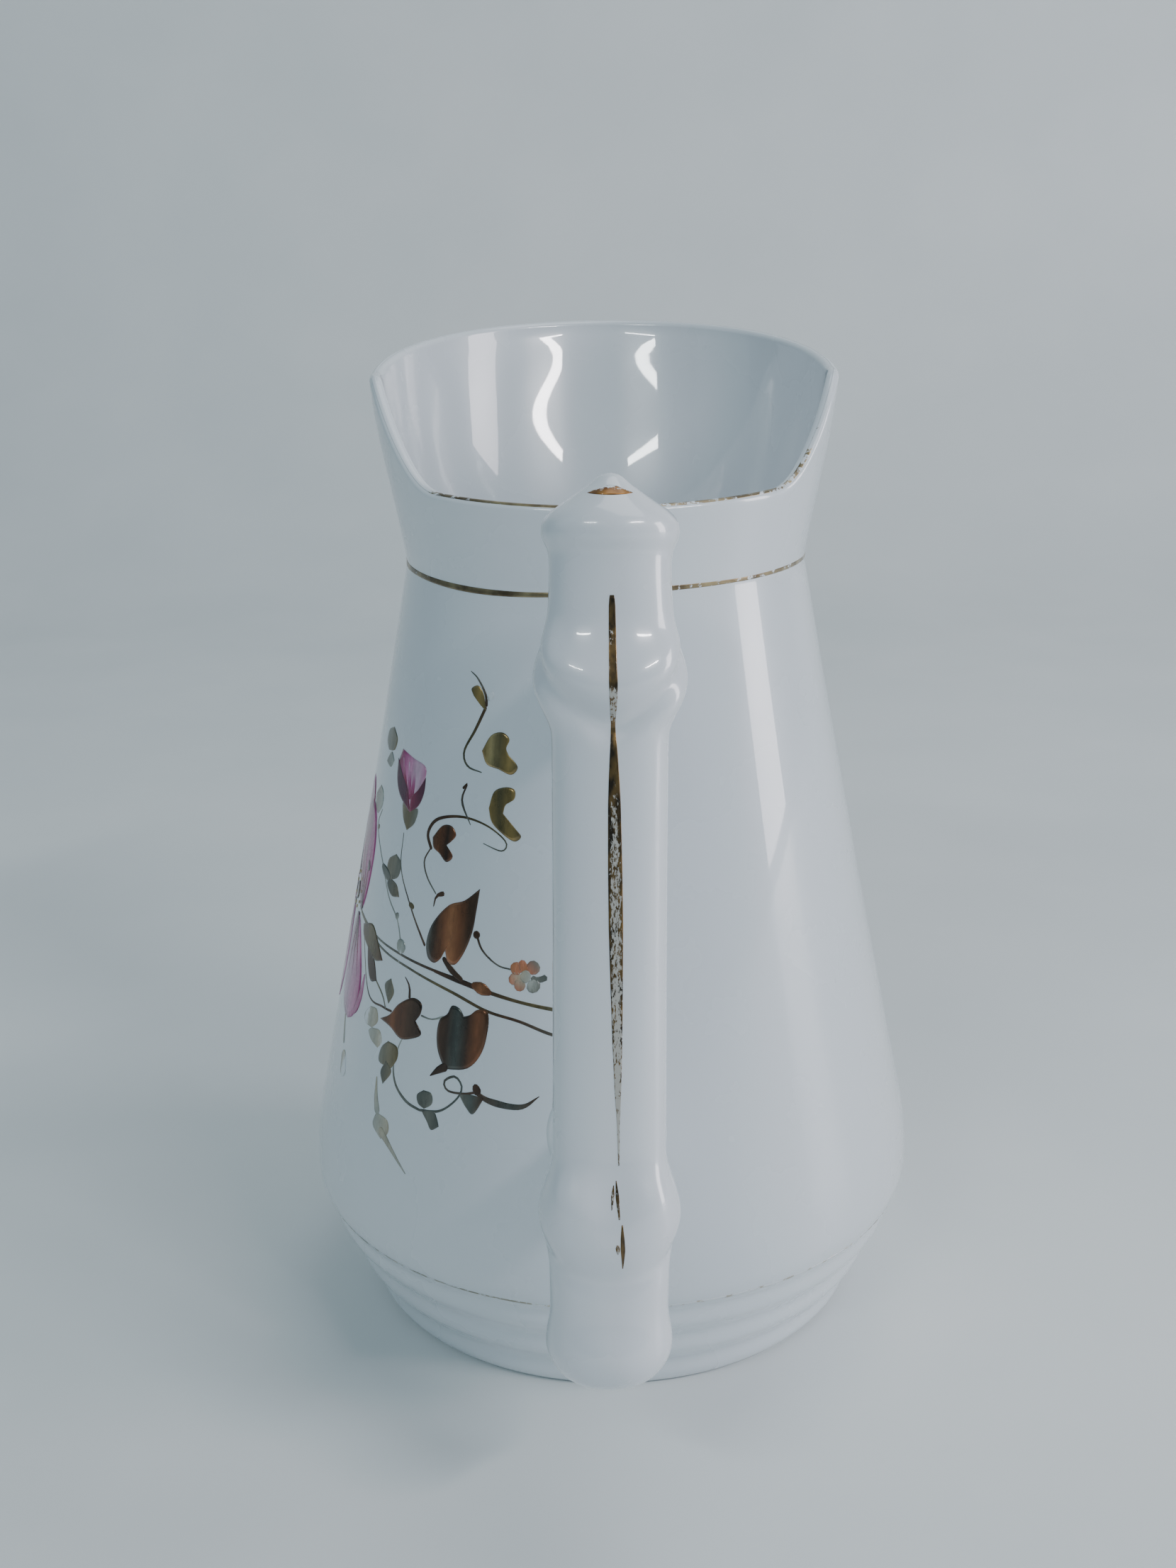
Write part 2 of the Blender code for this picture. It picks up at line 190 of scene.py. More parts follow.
def soften(rows, middle, span, passes):
    """Rounds an edge by averaging each row with its neighbours, along every meridian."""
    for _ in range(passes):
        before = rows.copy()
        window = slice(middle - span, middle + span + 1)
        shifted = before[middle - span - 1 : middle + span], before[middle - span + 1 : middle + span + 2]
        rows[window] = (shifted[0] + 2 * before[window] + shifted[1]) / 4


# Radius and height of the rows from the foot of the inside wall to the middle of its floor, in millimetres
INSIDE_FLOOR = [(49.4, 23), (48.4, 19), (46.6, 15.6), (44, 12.8), (40.4, 10.6), (35, 9.1), (26, 8.3)]
INSIDE_FLOOR += [(13, 8.05), (0, 8)]


def underside_rows():
    """From the middle of the recess under the foot out to the flat of its ring."""
    inner = BASE_RADIUS - FOOT_RING_WIDTH
    rows = [level_row(radius * MM, FOOT_RECESS + 0.4 * MM) for radius in (0, 14, 26, 34)]
    rows.append(level_row(inner - 1.6 * MM, FOOT_RECESS))
    for step in range(1, 5):
        angle = step * math.pi / 8
        rows.append(level_row(inner - 1.2 * MM * math.cos(angle), FOOT_RECESS * (1 - math.sin(angle))))
    for share in (0.15, 0.5, 0.85):
        rows.append(level_row(inner + share * FOOT_RING_WIDTH, 0))
    return rows


def body_rows():
    """Every row of the body's skin from under the foot, up the outside, and down the inside."""
    rows = underside_rows()
    rows.append(level_row(BASE_RADIUS - 0.1 * MM, 0.1 * MM))
    for z in np.arange(0.5 * MM, FOOT_TOP_HEIGHT - 0.2 * MM, 0.45 * MM):
        rows.append(level_row(foot_radius(z), z))
    marks = {"foot": len(rows)}
    heights = [np.arange(FOOT_TOP_HEIGHT, CONE_FOOT_HEIGHT, 0.8 * MM)]
    heights.append(np.arange(CONE_FOOT_HEIGHT, NECK_HEIGHT - 4.2 * MM, 2.6 * MM))
    heights.append(np.linspace(NECK_HEIGHT - 4 * MM, NECK_HEIGHT, 11))
    for z in np.concatenate(heights):
        rows.append(level_row(outer_radius(z), z))
    marks["neck"] = len(rows) - 1
    shares = list(np.linspace(0.02, 0.16, 8)) + list(np.linspace(0.2, 1.0, 18))
    rows += [collar_row(share) for share in shares]
    marks["lip"] = len(rows)
    rows += [lip_row(beta) for beta in np.linspace(0.15, math.pi - 0.15, 11)]
    for share in reversed(shares):
        rows.append(collar_row(share, WALL + (2 * LIP_ROUND - WALL) * share))
    for z in np.linspace(NECK_HEIGHT, SHOULDER_HEIGHT, 24):
        rows.append(level_row(outer_radius(z) - WALL, z))
    rows += [level_row(radius * MM, z * MM) for radius, z in INSIDE_FLOOR]
    packed = np.array(rows)
    soften(packed, marks["foot"], 2, 1)
    soften(packed, marks["neck"], 5, 4)
    return packed, marks


BODY_ROWS, BODY_MARKS = body_rows()


def round_points(radius, z, angle=ROUND):
    """Points in the row frame from radius, height and angle round the body."""
    x = radius * np.sin(angle)
    y = AXIS_Y - radius * np.cos(angle)
    return np.stack(np.broadcast_arrays(x, y, z), axis=-1)


def skin_radius(z):
    """Outer radius at a height for every angle of ROUND, read from the body's own rows."""
    low, high = BODY_MARKS["foot"] - 6, BODY_MARKS["lip"]
    radii = BODY_ROWS[low:high, 0]
    heights = BODY_ROWS[low:high, 1]
    return np.array([np.interp(z[i], heights[:, i], radii[:, i]) for i in range(SEGMENTS)])


# ---------------------------------------------------------------- meshes


def turn_faces_out(mesh):
    """Makes a closed mesh's faces point outwards, and shades it smooth."""
    bm = bmesh.new()
    bm.from_mesh(mesh)
    bmesh.ops.recalc_face_normals(bm, faces=bm.faces)
    bm.to_mesh(mesh)
    bm.free()
    mesh.shade_smooth()


def grid_mesh(name, points, loop_rows=False, loop_columns=True):
    """A smooth mesh through a grid of points. A row whose points all coincide becomes a pole."""
    rows, columns = points.shape[:2]
    verts = []
    index = []
    for row in points:
        if np.ptp(row, axis=0).max() < 1e-7:
            index.append([len(verts)] * columns)
            verts.append(tuple(row[0]))
        else:
            index.append(list(range(len(verts), len(verts) + columns)))
            verts.extend(map(tuple, row))
    faces = []
    for i in range(rows if loop_rows else rows - 1):
        low, high = index[i], index[(i + 1) % rows]
        for j in range(columns if loop_columns else columns - 1):
            k = (j + 1) % columns
            corners = [low[j], low[k], high[k], high[j]]
            faces.append(tuple(dict.fromkeys(corners)))
    mesh = bpy.data.meshes.new(name)
    mesh.from_pydata(verts, [], faces)
    turn_faces_out(mesh)
    return mesh


def add_piece(mesh, materials, nodes):
    piece = bpy.data.objects.new(mesh.name, mesh)
    for material in materials:
        mesh.materials.append(material)
    bpy.context.scene.collection.objects.link(piece)
    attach(piece, "root")
    if nodes:
        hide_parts(*nodes)
    return piece


def set_vertex_values(mesh, name, values):
    layer = mesh.attributes.new(name, "FLOAT", "POINT")
    layer.data.foreach_set("value", np.asarray(values, np.float32).ravel())


# ---------------------------------------------------------------- materials


class NodeTree:
    """Short hands for building one material's nodes."""

    def __init__(self, name):
        self.material = bpy.data.materials.new(name)
        self.material.use_nodes = True
        self.nodes = self.material.node_tree.nodes
        self.links = self.material.node_tree.links
        self.shader = self.nodes["Principled BSDF"]

    def add(self, kind, **settings):
        node = self.nodes.new("ShaderNode" + kind)
        for key, value in settings.items():
            setattr(node, key, value)
        return node

    def feed(self, socket, value):
        """Sets a socket to a number or a colour, or links another node's output to it."""
        if isinstance(value, tuple):
            socket.default_value = (*value, 1)
        elif isinstance(value, (int, float)):
            socket.default_value = value
        else:
            self.links.new(value, socket)

    def shade(self, name, value):
        self.feed(self.shader.inputs[name], value)

    def position(self, stretch=(1, 1, 1)):
        """The object's own coordinates, stretched."""
        place = self.add("TexCoord")
        mapping = self.add("Mapping")
        mapping.inputs["Scale"].default_value = stretch
        self.feed(mapping.inputs["Vector"], place.outputs["Object"])
        return mapping.outputs["Vector"]

    def noise(self, scale, detail=3.0, stretch=(1, 1, 1), roughness=0.5):
        texture = self.add("TexNoise")
        values = {"Scale": scale, "Detail": detail, "Roughness": roughness, "Vector": self.position(stretch)}
        for key, value in values.items():
            self.feed(texture.inputs[key], value)
        return texture.outputs["Fac"]

    def ramp(self, value, stops):
        """A colour ramp over stops of (position, (r, g, b))."""
        ramp = self.add("ValToRGB")
        elements = ramp.color_ramp.elements
        while len(elements) < len(stops):
            elements.new(0.5)
        for element, (position, colour) in zip(elements, stops):
            element.position = position
            element.color = (*colour, 1)
        self.feed(ramp.inputs["Fac"], value)
        return ramp.outputs["Color"]

    def span(self, value, low, high, to_low, to_high):
        """Maps a value from one range to another."""
        node = self.add("MapRange")
        values = {"Value": value, "From Min": low, "From Max": high, "To Min": to_low, "To Max": to_high}
        for key, number in values.items():
            self.feed(node.inputs[key], number)
        return node.outputs["Result"]

    def math(self, operation, first, second):
        node = self.add("Math", operation=operation)
        for socket, value in zip(node.inputs, (first, second)):
            self.feed(socket, value)
        return node.outputs["Value"]

    def mix(self, share, first, second, blend="MIX"):
        node = self.add("Mix", data_type="RGBA", blend_type=blend)
        for number, value in ((0, share), (6, first), (7, second)):
            self.feed(node.inputs[number], value)
        return node.outputs[2]

    def bump(self, height, strength, distance):
        node = self.add("Bump")
        for key, value in {"Strength": strength, "Distance": distance, "Height": height}.items():
            self.feed(node.inputs[key], value)
        self.shade("Normal", node.outputs["Normal"])

    def glaze(self, coat=1.0, roughness=0.03):
        self.shade("Coat Weight", coat)
        self.shade("Coat Roughness", roughness)
        self.shade("Coat IOR", 1.5)

    def value_of(self, name):
        return self.add("Attribute", attribute_name=name).outputs["Fac"]

    def colour_of(self, name):
        return self.add("Attribute", attribute_name=name).outputs["Color"]


PORCELAIN = (0.77, 0.815, 0.85)


def porcelain_material(name, pooled, scale):
    """White body under a clear glaze, a breath bluer where the glaze lies thick."""
    tree = NodeTree(name)
    tint = tree.noise(scale, 2.0)
    tree.shade("Base Color", tree.ramp(tint, [(0.3, PORCELAIN), (0.75, pooled)]))
    tree.shade("Roughness", tree.span(tree.noise(60, 4.0), 0.3, 0.7, 0.20, 0.32))
    tree.bump(tree.noise(95, 2.0), 0.05, 0.0006)
    tree.glaze()
    return tree.material


def bisque_material():
    """The foot ring's flat, wiped clean of glaze."""
    tree = NodeTree("unglazed_foot_ring")
    grain = tree.noise(900, 4.0)
    tree.shade("Base Color", tree.ramp(grain, [(0.35, (0.62, 0.59, 0.54)), (0.7, (0.74, 0.72, 0.68))]))
    tree.shade("Roughness", 0.8)
    tree.bump(grain, 0.3, 0.0002)
    return tree.material


def gilding_material(name, dark, bright, grain, stretch=(1, 1, 1), bare=PORCELAIN):
    """Gold that shows porcelain where it is worn: the wear value of each point sets how much."""
    tree = NodeTree(name)
    speckle = tree.noise(grain, 6.0, stretch, 0.7)
    spread = tree.span(speckle, 0.28, 0.72, 0.0, 1.0)
    left = tree.math("SUBTRACT", spread, tree.value_of("wear"))
    gold = tree.span(left, -0.03, 0.05, 0.0, 1.0)
    tone = tree.ramp(tree.noise(grain * 0.3, 3.0, stretch), [(0.35, dark), (0.68, bright)])
    tree.shade("Base Color", tree.mix(gold, bare, tone))
    tree.shade("Metallic", tree.math("MULTIPLY", gold, 0.85))
    tree.shade("Roughness", tree.span(gold, 0.0, 1.0, 0.2, 0.34))
    tree.bump(gold, 0.25, 0.00004)
    tree.glaze(0.4, 0.08)
    return tree.material


def paint_material(name, metallic, roughness, streaks):
    """Brushed colour held in each point of the mesh, broken by fine brush streaks. On the lustre that colour
    also holds painted reflection bands.
    """
    tree = NodeTree(name)
    brush = tree.noise(streaks, 5.0, (1, 1, 0.28), 0.65)
    thin = tree.ramp(brush, [(0.32, (0.62, 0.62, 0.62)), (0.7, (1.3, 1.3, 1.3))])
    paint = tree.mix(1.0, tree.colour_of("paint"), thin, "MULTIPLY")
    bare = tree.span(tree.math("SUBTRACT", brush, tree.value_of("cover")), -0.02, 0.06, 0.0, 1.0)
    tree.shade("Base Color", tree.mix(bare, paint, PORCELAIN))
    tree.shade("Metallic", tree.span(bare, 0.0, 1.0, metallic, 0.0))
    tree.shade("Roughness", tree.span(brush, 0.3, 0.7, roughness, roughness + 0.12))
    tree.bump(brush, 0.12, 0.00005)
    tree.glaze(0.5, 0.08)
    return tree.material


# ---------------------------------------------------------------- jug body


def build_body(material, bare):
    """The glazed body. The flat of its foot ring has the bare material."""
    radius, z = BODY_ROWS[:, 0], BODY_ROWS[:, 1]
    mesh = grid_mesh("glazed_body", round_points(radius, z))
    add_piece(mesh, [material, bare], ["jug_body"])
    inner = BASE_RADIUS - FOOT_RING_WIDTH
    for face in mesh.polygons:
        reach = math.hypot(face.center.x, face.center.y - AXIS_Y)
        if face.center.z < 0.06 * MM and reach > inner - 0.3 * MM:
            face.material_index = 1


# ---------------------------------------------------------------- handle

# Height along the handle, half width, half depth and squareness of each turning, in millimetres
HANDLE_TURNINGS = [
    (6.9, 8.8, 8.0, 2.2),
    (12.0, 8.2, 7.1, 2.5),
    (17.2, 8.3, 7.1, 2.6),
    (25.8, 9.7, 8.35, 2.3),
    (34.2, 7.8, 6.4, 2.8),
    (62.0, 7.75, 6.35, 2.8),
    (91.0, 7.8, 6.4, 2.8),
    (98.8, 10.3, 8.6, 2.3),
    (107.2, 8.2, 6.85, 2.5),
    (114.0, 8.15, 6.9, 2.3),
    (115.3, 8.3, 7.05, 2.2),
    (116.6, 9.0, 7.9, 2.1),
    (117.8, 9.25, 8.15, 2.1),
    (119.2, 9.0, 7.95, 2.1),
    (120.4, 8.0, 7.2, 2.05),
    (122.2, 5.3, 5.0, 2.0),
    (124.0, 2.75, 2.7, 2.0),
    (125.0, 1.6, 1.55, 2.0),
]


def handle_table():
    """Half sizes and squareness at close heights, eased between turnings and lightly smoothed."""
    heights = np.linspace(0, HANDLE_LENGTH, 503)
    marks = np.array(HANDLE_TURNINGS)
    marks[:, :3] *= MM
    values = np.zeros((len(heights), 3))
    for i, height in enumerate(heights):
        if height <= marks[0, 0]:
            share = math.sqrt(max(0.0, 1 - ((marks[0, 0] - height) / marks[0, 0]) ** 2))
            values[i] = marks[0, 1] * share, marks[0, 2] * share, marks[0, 3]
            continue
        if height >= marks[-1, 0]:
            share = math.sqrt(max(0.0, (HANDLE_LENGTH - height) / (HANDLE_LENGTH - marks[-1, 0])))
            values[i] = marks[-1, 1] * share, marks[-1, 2] * share, marks[-1, 3]
            continue
        at = np.searchsorted(marks[:, 0], height)
        low, high = marks[at - 1], marks[at]
        share = (height - low[0]) / (high[0] - low[0])
        if high[0] - low[0] > 3 * MM:
            share = smooth_step(share)
        values[i] = low[1:] + (high[1:] - low[1:]) * share
    inside = slice(30, len(heights) - 8)
    for _ in range(4):
        before = values.copy()
        rolled = np.roll(before, 1, axis=0) + 2 * before + np.roll(before, -1, axis=0)
        values[inside] = rolled[inside] / 4
    return heights, values


HANDLE_HEIGHTS, HANDLE_VALUES = handle_table()


def bell(value, middle, width):
    return np.exp(-(((value - middle) / width) ** 2))


def knuckle_relief(height, turn):
    """Soft creases of the two knuckles: a tongue runs down the upper one, lobes flank the lower one."""
    side = np.abs(wrapped(turn)) / (math.pi / 2)
    front = 1 - smooth_step((side - 0.75) / 0.3)
    crease = (92.6 + 9.5 * side**1.1) * MM
    relief = -1.05 * MM * bell(height, crease, 2.1 * MM) * front
    relief += 0.6 * MM * bell(height, crease + 4.4 * MM, 3.0 * MM) * front
    relief += 0.6 * MM * bell(height, 95 * MM, 3.4 * MM) * bell(side, 0.72, 0.26)
    edge = (18.2 + 4.5 * side**1.6) * MM
    relief += -0.35 * MM * bell(height, edge - 1.0 * MM, 1.6 * MM) * front
    relief += 0.35 * MM * bell(height, edge + 3.4 * MM, 2.6 * MM) * front
    relief += 0.6 * MM * bell(height, 28.5 * MM, 3.6 * MM) * bell(side, 0.42, 0.24)
    relief += -0.4 * MM * bell(height, 28.5 * MM, 4.0 * MM) * bell(side, 0.0, 0.16)
    return relief


def on_handle(height, turn, lift=0.0):
    """Points on the handle's skin in the row frame: turn 0 is the outer face."""
    height, turn = np.broadcast_arrays(np.asarray(height, float), np.asarray(turn, float))
    half_width = np.interp(height, HANDLE_HEIGHTS, HANDLE_VALUES[:, 0])
    half_depth = np.interp(height, HANDLE_HEIGHTS, HANDLE_VALUES[:, 1])
    power = 2 / np.interp(height, HANDLE_HEIGHTS, HANDLE_VALUES[:, 2])
    extra = knuckle_relief(height, turn) + lift
    across = np.sign(np.sin(turn)) * np.abs(np.sin(turn)) ** power
    out = np.sign(np.cos(turn)) * np.abs(np.cos(turn)) ** power
    local = np.stack([(half_width + extra) * across, -(half_depth + extra) * out, height], axis=-1)
    return to_row_frame(local)


def to_row_frame(local):
    """From the handle's own leaning frame, which starts at its foot, to the row frame."""
    x, y, z = local[..., 0], local[..., 1], local[..., 2]
    row_y = AXIS_Y + HANDLE_FOOT_Y + y * math.cos(HANDLE_LEAN) + z * math.sin(HANDLE_LEAN)
    up = z * math.cos(HANDLE_LEAN) - y * math.sin(HANDLE_LEAN)
    row_x = HANDLE_FOOT_X + x * math.cos(HANDLE_SKEW) + up * math.sin(HANDLE_SKEW)
    row_z = HANDLE_FOOT_Z + up * math.cos(HANDLE_SKEW) - x * math.sin(HANDLE_SKEW)
    return np.stack([row_x, row_y, row_z], axis=-1)


def reach_to_body(x, height):
    """Distance from the handle's axis to the body's side, square to the handle."""
    near = np.zeros(np.broadcast(x, height).shape)
    far = near + 60 * MM
    for _ in range(40):
        reach = (near + far) / 2
        local = np.broadcast_arrays(x, reach, height)
        point = to_row_frame(np.stack(local, axis=-1))
        outside = np.hypot(point[..., 0], point[..., 1] - AXIS_Y) > outer_radius(point[..., 2])
        near, far = np.where(outside, reach, near), np.where(outside, far, reach)
    return near


def bar_points():
    """The upright bar from its bottom knob to the tip of its finial."""
    turns = np.arange(HANDLE_SEGMENTS) * math.tau / HANDLE_SEGMENTS
    ends = HANDLE_LENGTH * np.array([0.0004, 0.002, 0.005, 0.009])
    middle = np.linspace(1.6 * MM, HANDLE_LENGTH - 1.6 * MM, 250)
    heights = np.concatenate([ends, middle, HANDLE_LENGTH - ends[::-1]])
    rows = [np.broadcast_to(to_row_frame(np.zeros(3)), (HANDLE_SEGMENTS, 3))]
    rows += [on_handle(height, turns) for height in heights]
    top = to_row_frame(np.array([0, 0, HANDLE_LENGTH]))
    rows.append(np.broadcast_to(top, (HANDLE_SEGMENTS, 3)))
    return np.array(rows)


def arm_points(centre):
    """A waisted arm from the bar's middle into the body's glaze, flared at both ends."""
    turns = np.arange(ARM_SEGMENTS) * math.tau / ARM_SEGMENTS
    root = reach_to_body(ARM_ROOT * np.sin(turns), centre + ARM_ROOT * np.cos(turns)) + ARM_SINK
    rows = [np.broadcast_to([0, 0, centre], (ARM_SEGMENTS, 3))]
    for share in np.linspace(0, 1, 40):
        half = ARM_WAIST + (ARM_ROOT - ARM_WAIST) * min(abs(2.3 * share - 1.3) ** 3, 1.15)
        half += BAR_FLARE * float(bell(max(share, BAR_SHARE), BAR_SHARE, 0.07))
        x, up = half * np.sin(turns), half * np.cos(turns)
        rows.append(np.stack([x, share * root, centre + up], axis=-1))
    rows.append(np.broadcast_to([0, reach_to_body(0, centre) + ARM_SINK, centre], (ARM_SEGMENTS, 3)))
    return to_row_frame(np.array(rows, float))


def build_handle(material):
    """The bar with its two arms joined to it."""
    handle = add_piece(grid_mesh("glazed_handle", bar_points()), [material], ["handle"])
    for name, centre in [("upper_arm", UPPER_KNUCKLE), ("lower_arm", LOWER_KNUCKLE)]:
        arm = bpy.data.objects.new(name, grid_mesh(name, arm_points(centre)))
        bpy.context.scene.collection.objects.link(arm)
        union = handle.modifiers.new(name, "BOOLEAN")
        union.operation = "UNION"
        union.object = arm
        bpy.context.view_layer.update()
        graph = bpy.context.evaluated_depsgraph_get()
        joined = bpy.data.meshes.new_from_object(handle.evaluated_get(graph))
        handle.modifiers.clear()
        handle.data = joined
        joined.name = "glazed_handle"
        bpy.data.objects.remove(arm, do_unlink=True)


def build_slip(name, node, centre, material):
    """A concave fillet of slip between an arm's root and the body."""
    turns = np.arange(SLIP_SEGMENTS) * math.tau / SLIP_SEGMENTS
    section = []
    for bend in np.linspace(0, math.pi / 2, 9):
        radius = ARM_ROOT + SLIP_WIDTH * (1 - math.sin(bend))
        section.append((radius, SLIP_HEIGHT * (1 - math.cos(bend))))
    inner = ARM_ROOT - 0.9 * MM
    section += [(inner, SLIP_HEIGHT), (inner, -SLIP_SINK), (ARM_ROOT + SLIP_WIDTH, -SLIP_SINK)]
    rows = []
    for radius, lift in section:
        wavy = radius * (1 + 0.015 * np.sin(3 * turns + centre * 400))
        x, height = wavy * np.sin(turns), centre + wavy * np.cos(turns)
        rows.append(np.stack([x, reach_to_body(x, height) - lift, height], axis=-1))
    points = to_row_frame(np.array(rows))
    add_piece(grid_mesh(name, points, loop_rows=True), [material], [node])


# ---------------------------------------------------------------- gilding


def sunk_strip(name, surface, sunk):
    """A closed plate: the outer face on one grid of points and the hidden back on another."""
    points = np.concatenate([surface, sunk[::-1]], axis=0)
    return grid_mesh(name, points, loop_rows=True)


def open_strip(name, surface, sunk):
    """A closed plate that ends: both ends are closed too."""
    ring = np.concatenate([surface, sunk[:, ::-1]], axis=1)
    first = ring[0].mean(axis=0)
    last = ring[-1].mean(axis=0)
    shape = (1, ring.shape[1], 3)
    points = np.concatenate([np.broadcast_to(first, shape), ring, np.broadcast_to(last, shape)], axis=0)
    return grid_mesh(name, points)


def set_strip_wear(mesh, wear):
    """Gives an open strip's two faces the same wear, and each of its two end points one half."""
    both = np.concatenate([wear, wear[:, ::-1]], axis=1).ravel()
    set_vertex_values(mesh, "wear", np.concatenate([[0.5], both, [0.5]]))


GILT_LIFT = 0.03 * MM
GILT_SUNK = -0.08 * MM
BAND_ROWS = 5


def build_rim_gilding(material):
    """The lip's gold: bright near the handle, broad and brown on the right, worn away elsewhere."""
    betas = np.radians(np.linspace(44, 84, 7))
    surface = [round_points(*lip_row(beta, GILT_LIFT)) for beta in betas]
    sunk = [round_points(*lip_row(beta, GILT_SUNK)) for beta in betas]
    mesh = sunk_strip("rim_gold_line", np.array(surface), np.array(sunk))
    turn = wrapped(ROUND)
    cheek = smooth_step((np.abs(turn) - math.radians(46)) / math.radians(12))
    near = 0.26 + 0.16 * np.sin(5 * turn) + 0.8 * cheek
    right = 0.46 + 0.6 * smooth_step((turn - math.radians(60)) / math.radians(10))
    wear = np.where(turn > math.radians(42), right, near)
    set_vertex_values(mesh, "wear", np.tile(wear, 2 * len(betas)))
    add_piece(mesh, [material], ["rim_gilding"])


def band_mesh(name, middle, width):
    """A painted line round the body that follows its skin."""
    surface, sunk = [], []
    for share in np.linspace(-0.5, 0.5, BAND_ROWS):
        z = middle + share * width
        radius = skin_radius(z)
        surface.append(round_points(radius + GILT_LIFT, z))
        sunk.append(round_points(radius + GILT_SUNK, z))
    return sunk_strip(name, np.array(surface), np.array(sunk))


def build_neck_gilding(material):
    """The line in the neck's crease, drawn by hand: lower, thicker and darker left of the handle."""
    turn = wrapped(ROUND)
    middle = NECK_HEIGHT + 0.6 * MM * np.sin(2 * turn) + 0.12 * MM * np.sin(5 * turn + 1)
    width = 0.74 * MM - 0.16 * MM * np.sin(turn) + 0.06 * MM * np.sin(7 * turn)
    mesh = band_mesh("neck_gold_line", middle, width)
    wear = 0.14 + 0.14 * smooth_step(np.sin(turn) + 0.3) + 0.06 * np.sin(3 * turn)
    set_vertex_values(mesh, "wear", np.tile(wear, 2 * BAND_ROWS))
    add_piece(mesh, [material], ["neck_gilding"])


def build_foot_gilding(material):
    """The thin, pale line where the shoulder meets the foot."""
    turn = wrapped(ROUND)
    middle = FOOT_TOP_HEIGHT + 0.1 * MM * np.sin(3 * turn) + 0.05 * MM
    mesh = band_mesh("foot_gold_line", middle, 0.55 * MM + 0.1 * MM * np.sin(4 * turn))
    wear = 0.52 + 0.12 * np.sin(2 * turn + 0.6) + 0.06 * np.sin(5 * turn)
    set_vertex_values(mesh, "wear", np.tile(wear, 2 * BAND_ROWS))
    add_piece(mesh, [material], ["foot_gilding"])


# Height and half width of the stripe, in millimetres, and the wear of its middle and its edges
STRIPE_MARKS = [
    (110.0, 0.14, 0.00, 0.0),
    (109.4, 0.32, 0.00, 0.0),
    (108.2, 0.42, 0.04, 0.0),
    (105.4, 0.47, 0.10, 0.0),
    (104.6, 0.48, 0.42, 0.2),
    (103.4, 0.48, 0.36, 0.1),
    (102.8, 0.50, 0.04, 0.0),
    (98.2, 0.54, 0.08, 0.0),
    (97.6, 0.52, 0.58, 0.5),
    (94.0, 0.40, 0.62, 0.55),
    (92.8, 0.32, 0.20, 0.15),
    (90.6, 0.42, 0.02, 0.0),
    (85.6, 0.70, 0.06, 0.0),
    (82.0, 0.84, 0.46, 0.0),
    (74.0, 0.94, 0.52, 0.04),
    (66.0, 0.96, 0.58, 0.14),
    (57.0, 0.80, 0.62, 0.26),
    (50.0, 0.64, 0.70, 0.36),
    (44.0, 0.45, 0.74, 0.50),
    (39.0, 0.18, 0.72, 0.60),
    (33.5, 0.08, 0.60, 0.50),
]


def handle_stroke(name, marks, middle, material, nodes, wear_of, columns=11):
    """A painted stroke down the handle's outer face. middle gives its sideways place at a height."""
    marks = np.array(sorted(marks))
    heights = np.arange(marks[0, 0], marks[-1, 0], 0.45)
    half = np.interp(heights, marks[:, 0], marks[:, 1]) * MM
    across = np.linspace(-1, 1, columns)
    width_at = np.interp(heights * MM, HANDLE_HEIGHTS, HANDLE_VALUES[:, 0])
    square = np.interp(heights * MM, HANDLE_HEIGHTS, HANDLE_VALUES[:, 2])
    sideways = middle(heights)[:, None] * MM + half[:, None] * across[None, :]
    share = np.clip(np.abs(sideways) / width_at[:, None], 0, 1)
    turn = np.sign(sideways) * np.arcsin(share ** (square[:, None] / 2))
    surface = on_handle(heights[:, None] * MM, turn, GILT_LIFT)
    sunk = on_handle(heights[:, None] * MM, turn, GILT_SUNK)
    mesh = open_strip(name, surface, sunk)
    set_strip_wear(mesh, wear_of(marks, heights, across))
    add_piece(mesh, [material], nodes)


def stripe_wear(marks, heights, across):
    """Wear that changes from the stroke's middle to its edges."""
    middle = np.interp(heights, marks[:, 0], marks[:, 2])[:, None]
    edge = np.interp(heights, marks[:, 0], marks[:, 3])[:, None]
    return middle + (edge - middle) * np.abs(across[None, :]) ** 2.4


def even_wear(marks, heights, across):
    """Wear that is the same all across the stroke."""
    wear = np.interp(heights, marks[:, 0], marks[:, 2])[:, None]
    return np.broadcast_to(wear, (len(heights), len(across)))


def drift(place, slope, start):
    """A stroke's sideways place at a height: place at the start height, and slope more for each step down."""
    return lambda height: place + slope * (start - height)


MARK_START = 30  # height at which a brush mark's sideways place is given, in millimetres
BRUSH_MARKS = {  # heights, half widths and wear of each mark, then its place and slope
    "a": ([(31.6, 0.05, 0.2), (29.5, 0.26, 0.3), (26.6, 0.1, 0.45)], 0.95, 0.09),
    "b": ([(26.0, 0.08, 0.3), (24.0, 0.26, 0.05), (22.4, 0.3, 0.0), (19.6, 0.05, 0.1)], 1.6, 0.006),
    "c": ([(31.0, 0.05, 0.3), (29.6, 0.24, 0.4), (27.8, 0.05, 0.5)], 0.4, -0.09),
    "d": ([(23.4, 0.05, 0.4), (22.6, 0.34, 0.45), (21.8, 0.05, 0.4)], 1.0, 0.0),
}


def build_grip_gilding(material):
    """The worn stripe down the grip, and the few brush marks where it peters out."""
    middle = drift(0.05, 0.0137, 115)
    handle_stroke("grip_gold_stripe", STRIPE_MARKS, middle, material, ["grip_gilding"], stripe_wear)
    for letter, (marks, place, slope) in BRUSH_MARKS.items():
        middle = drift(place, slope, MARK_START)
        handle_stroke("grip_brush_mark_" + letter, marks, middle, material, [], even_wear, columns=7)


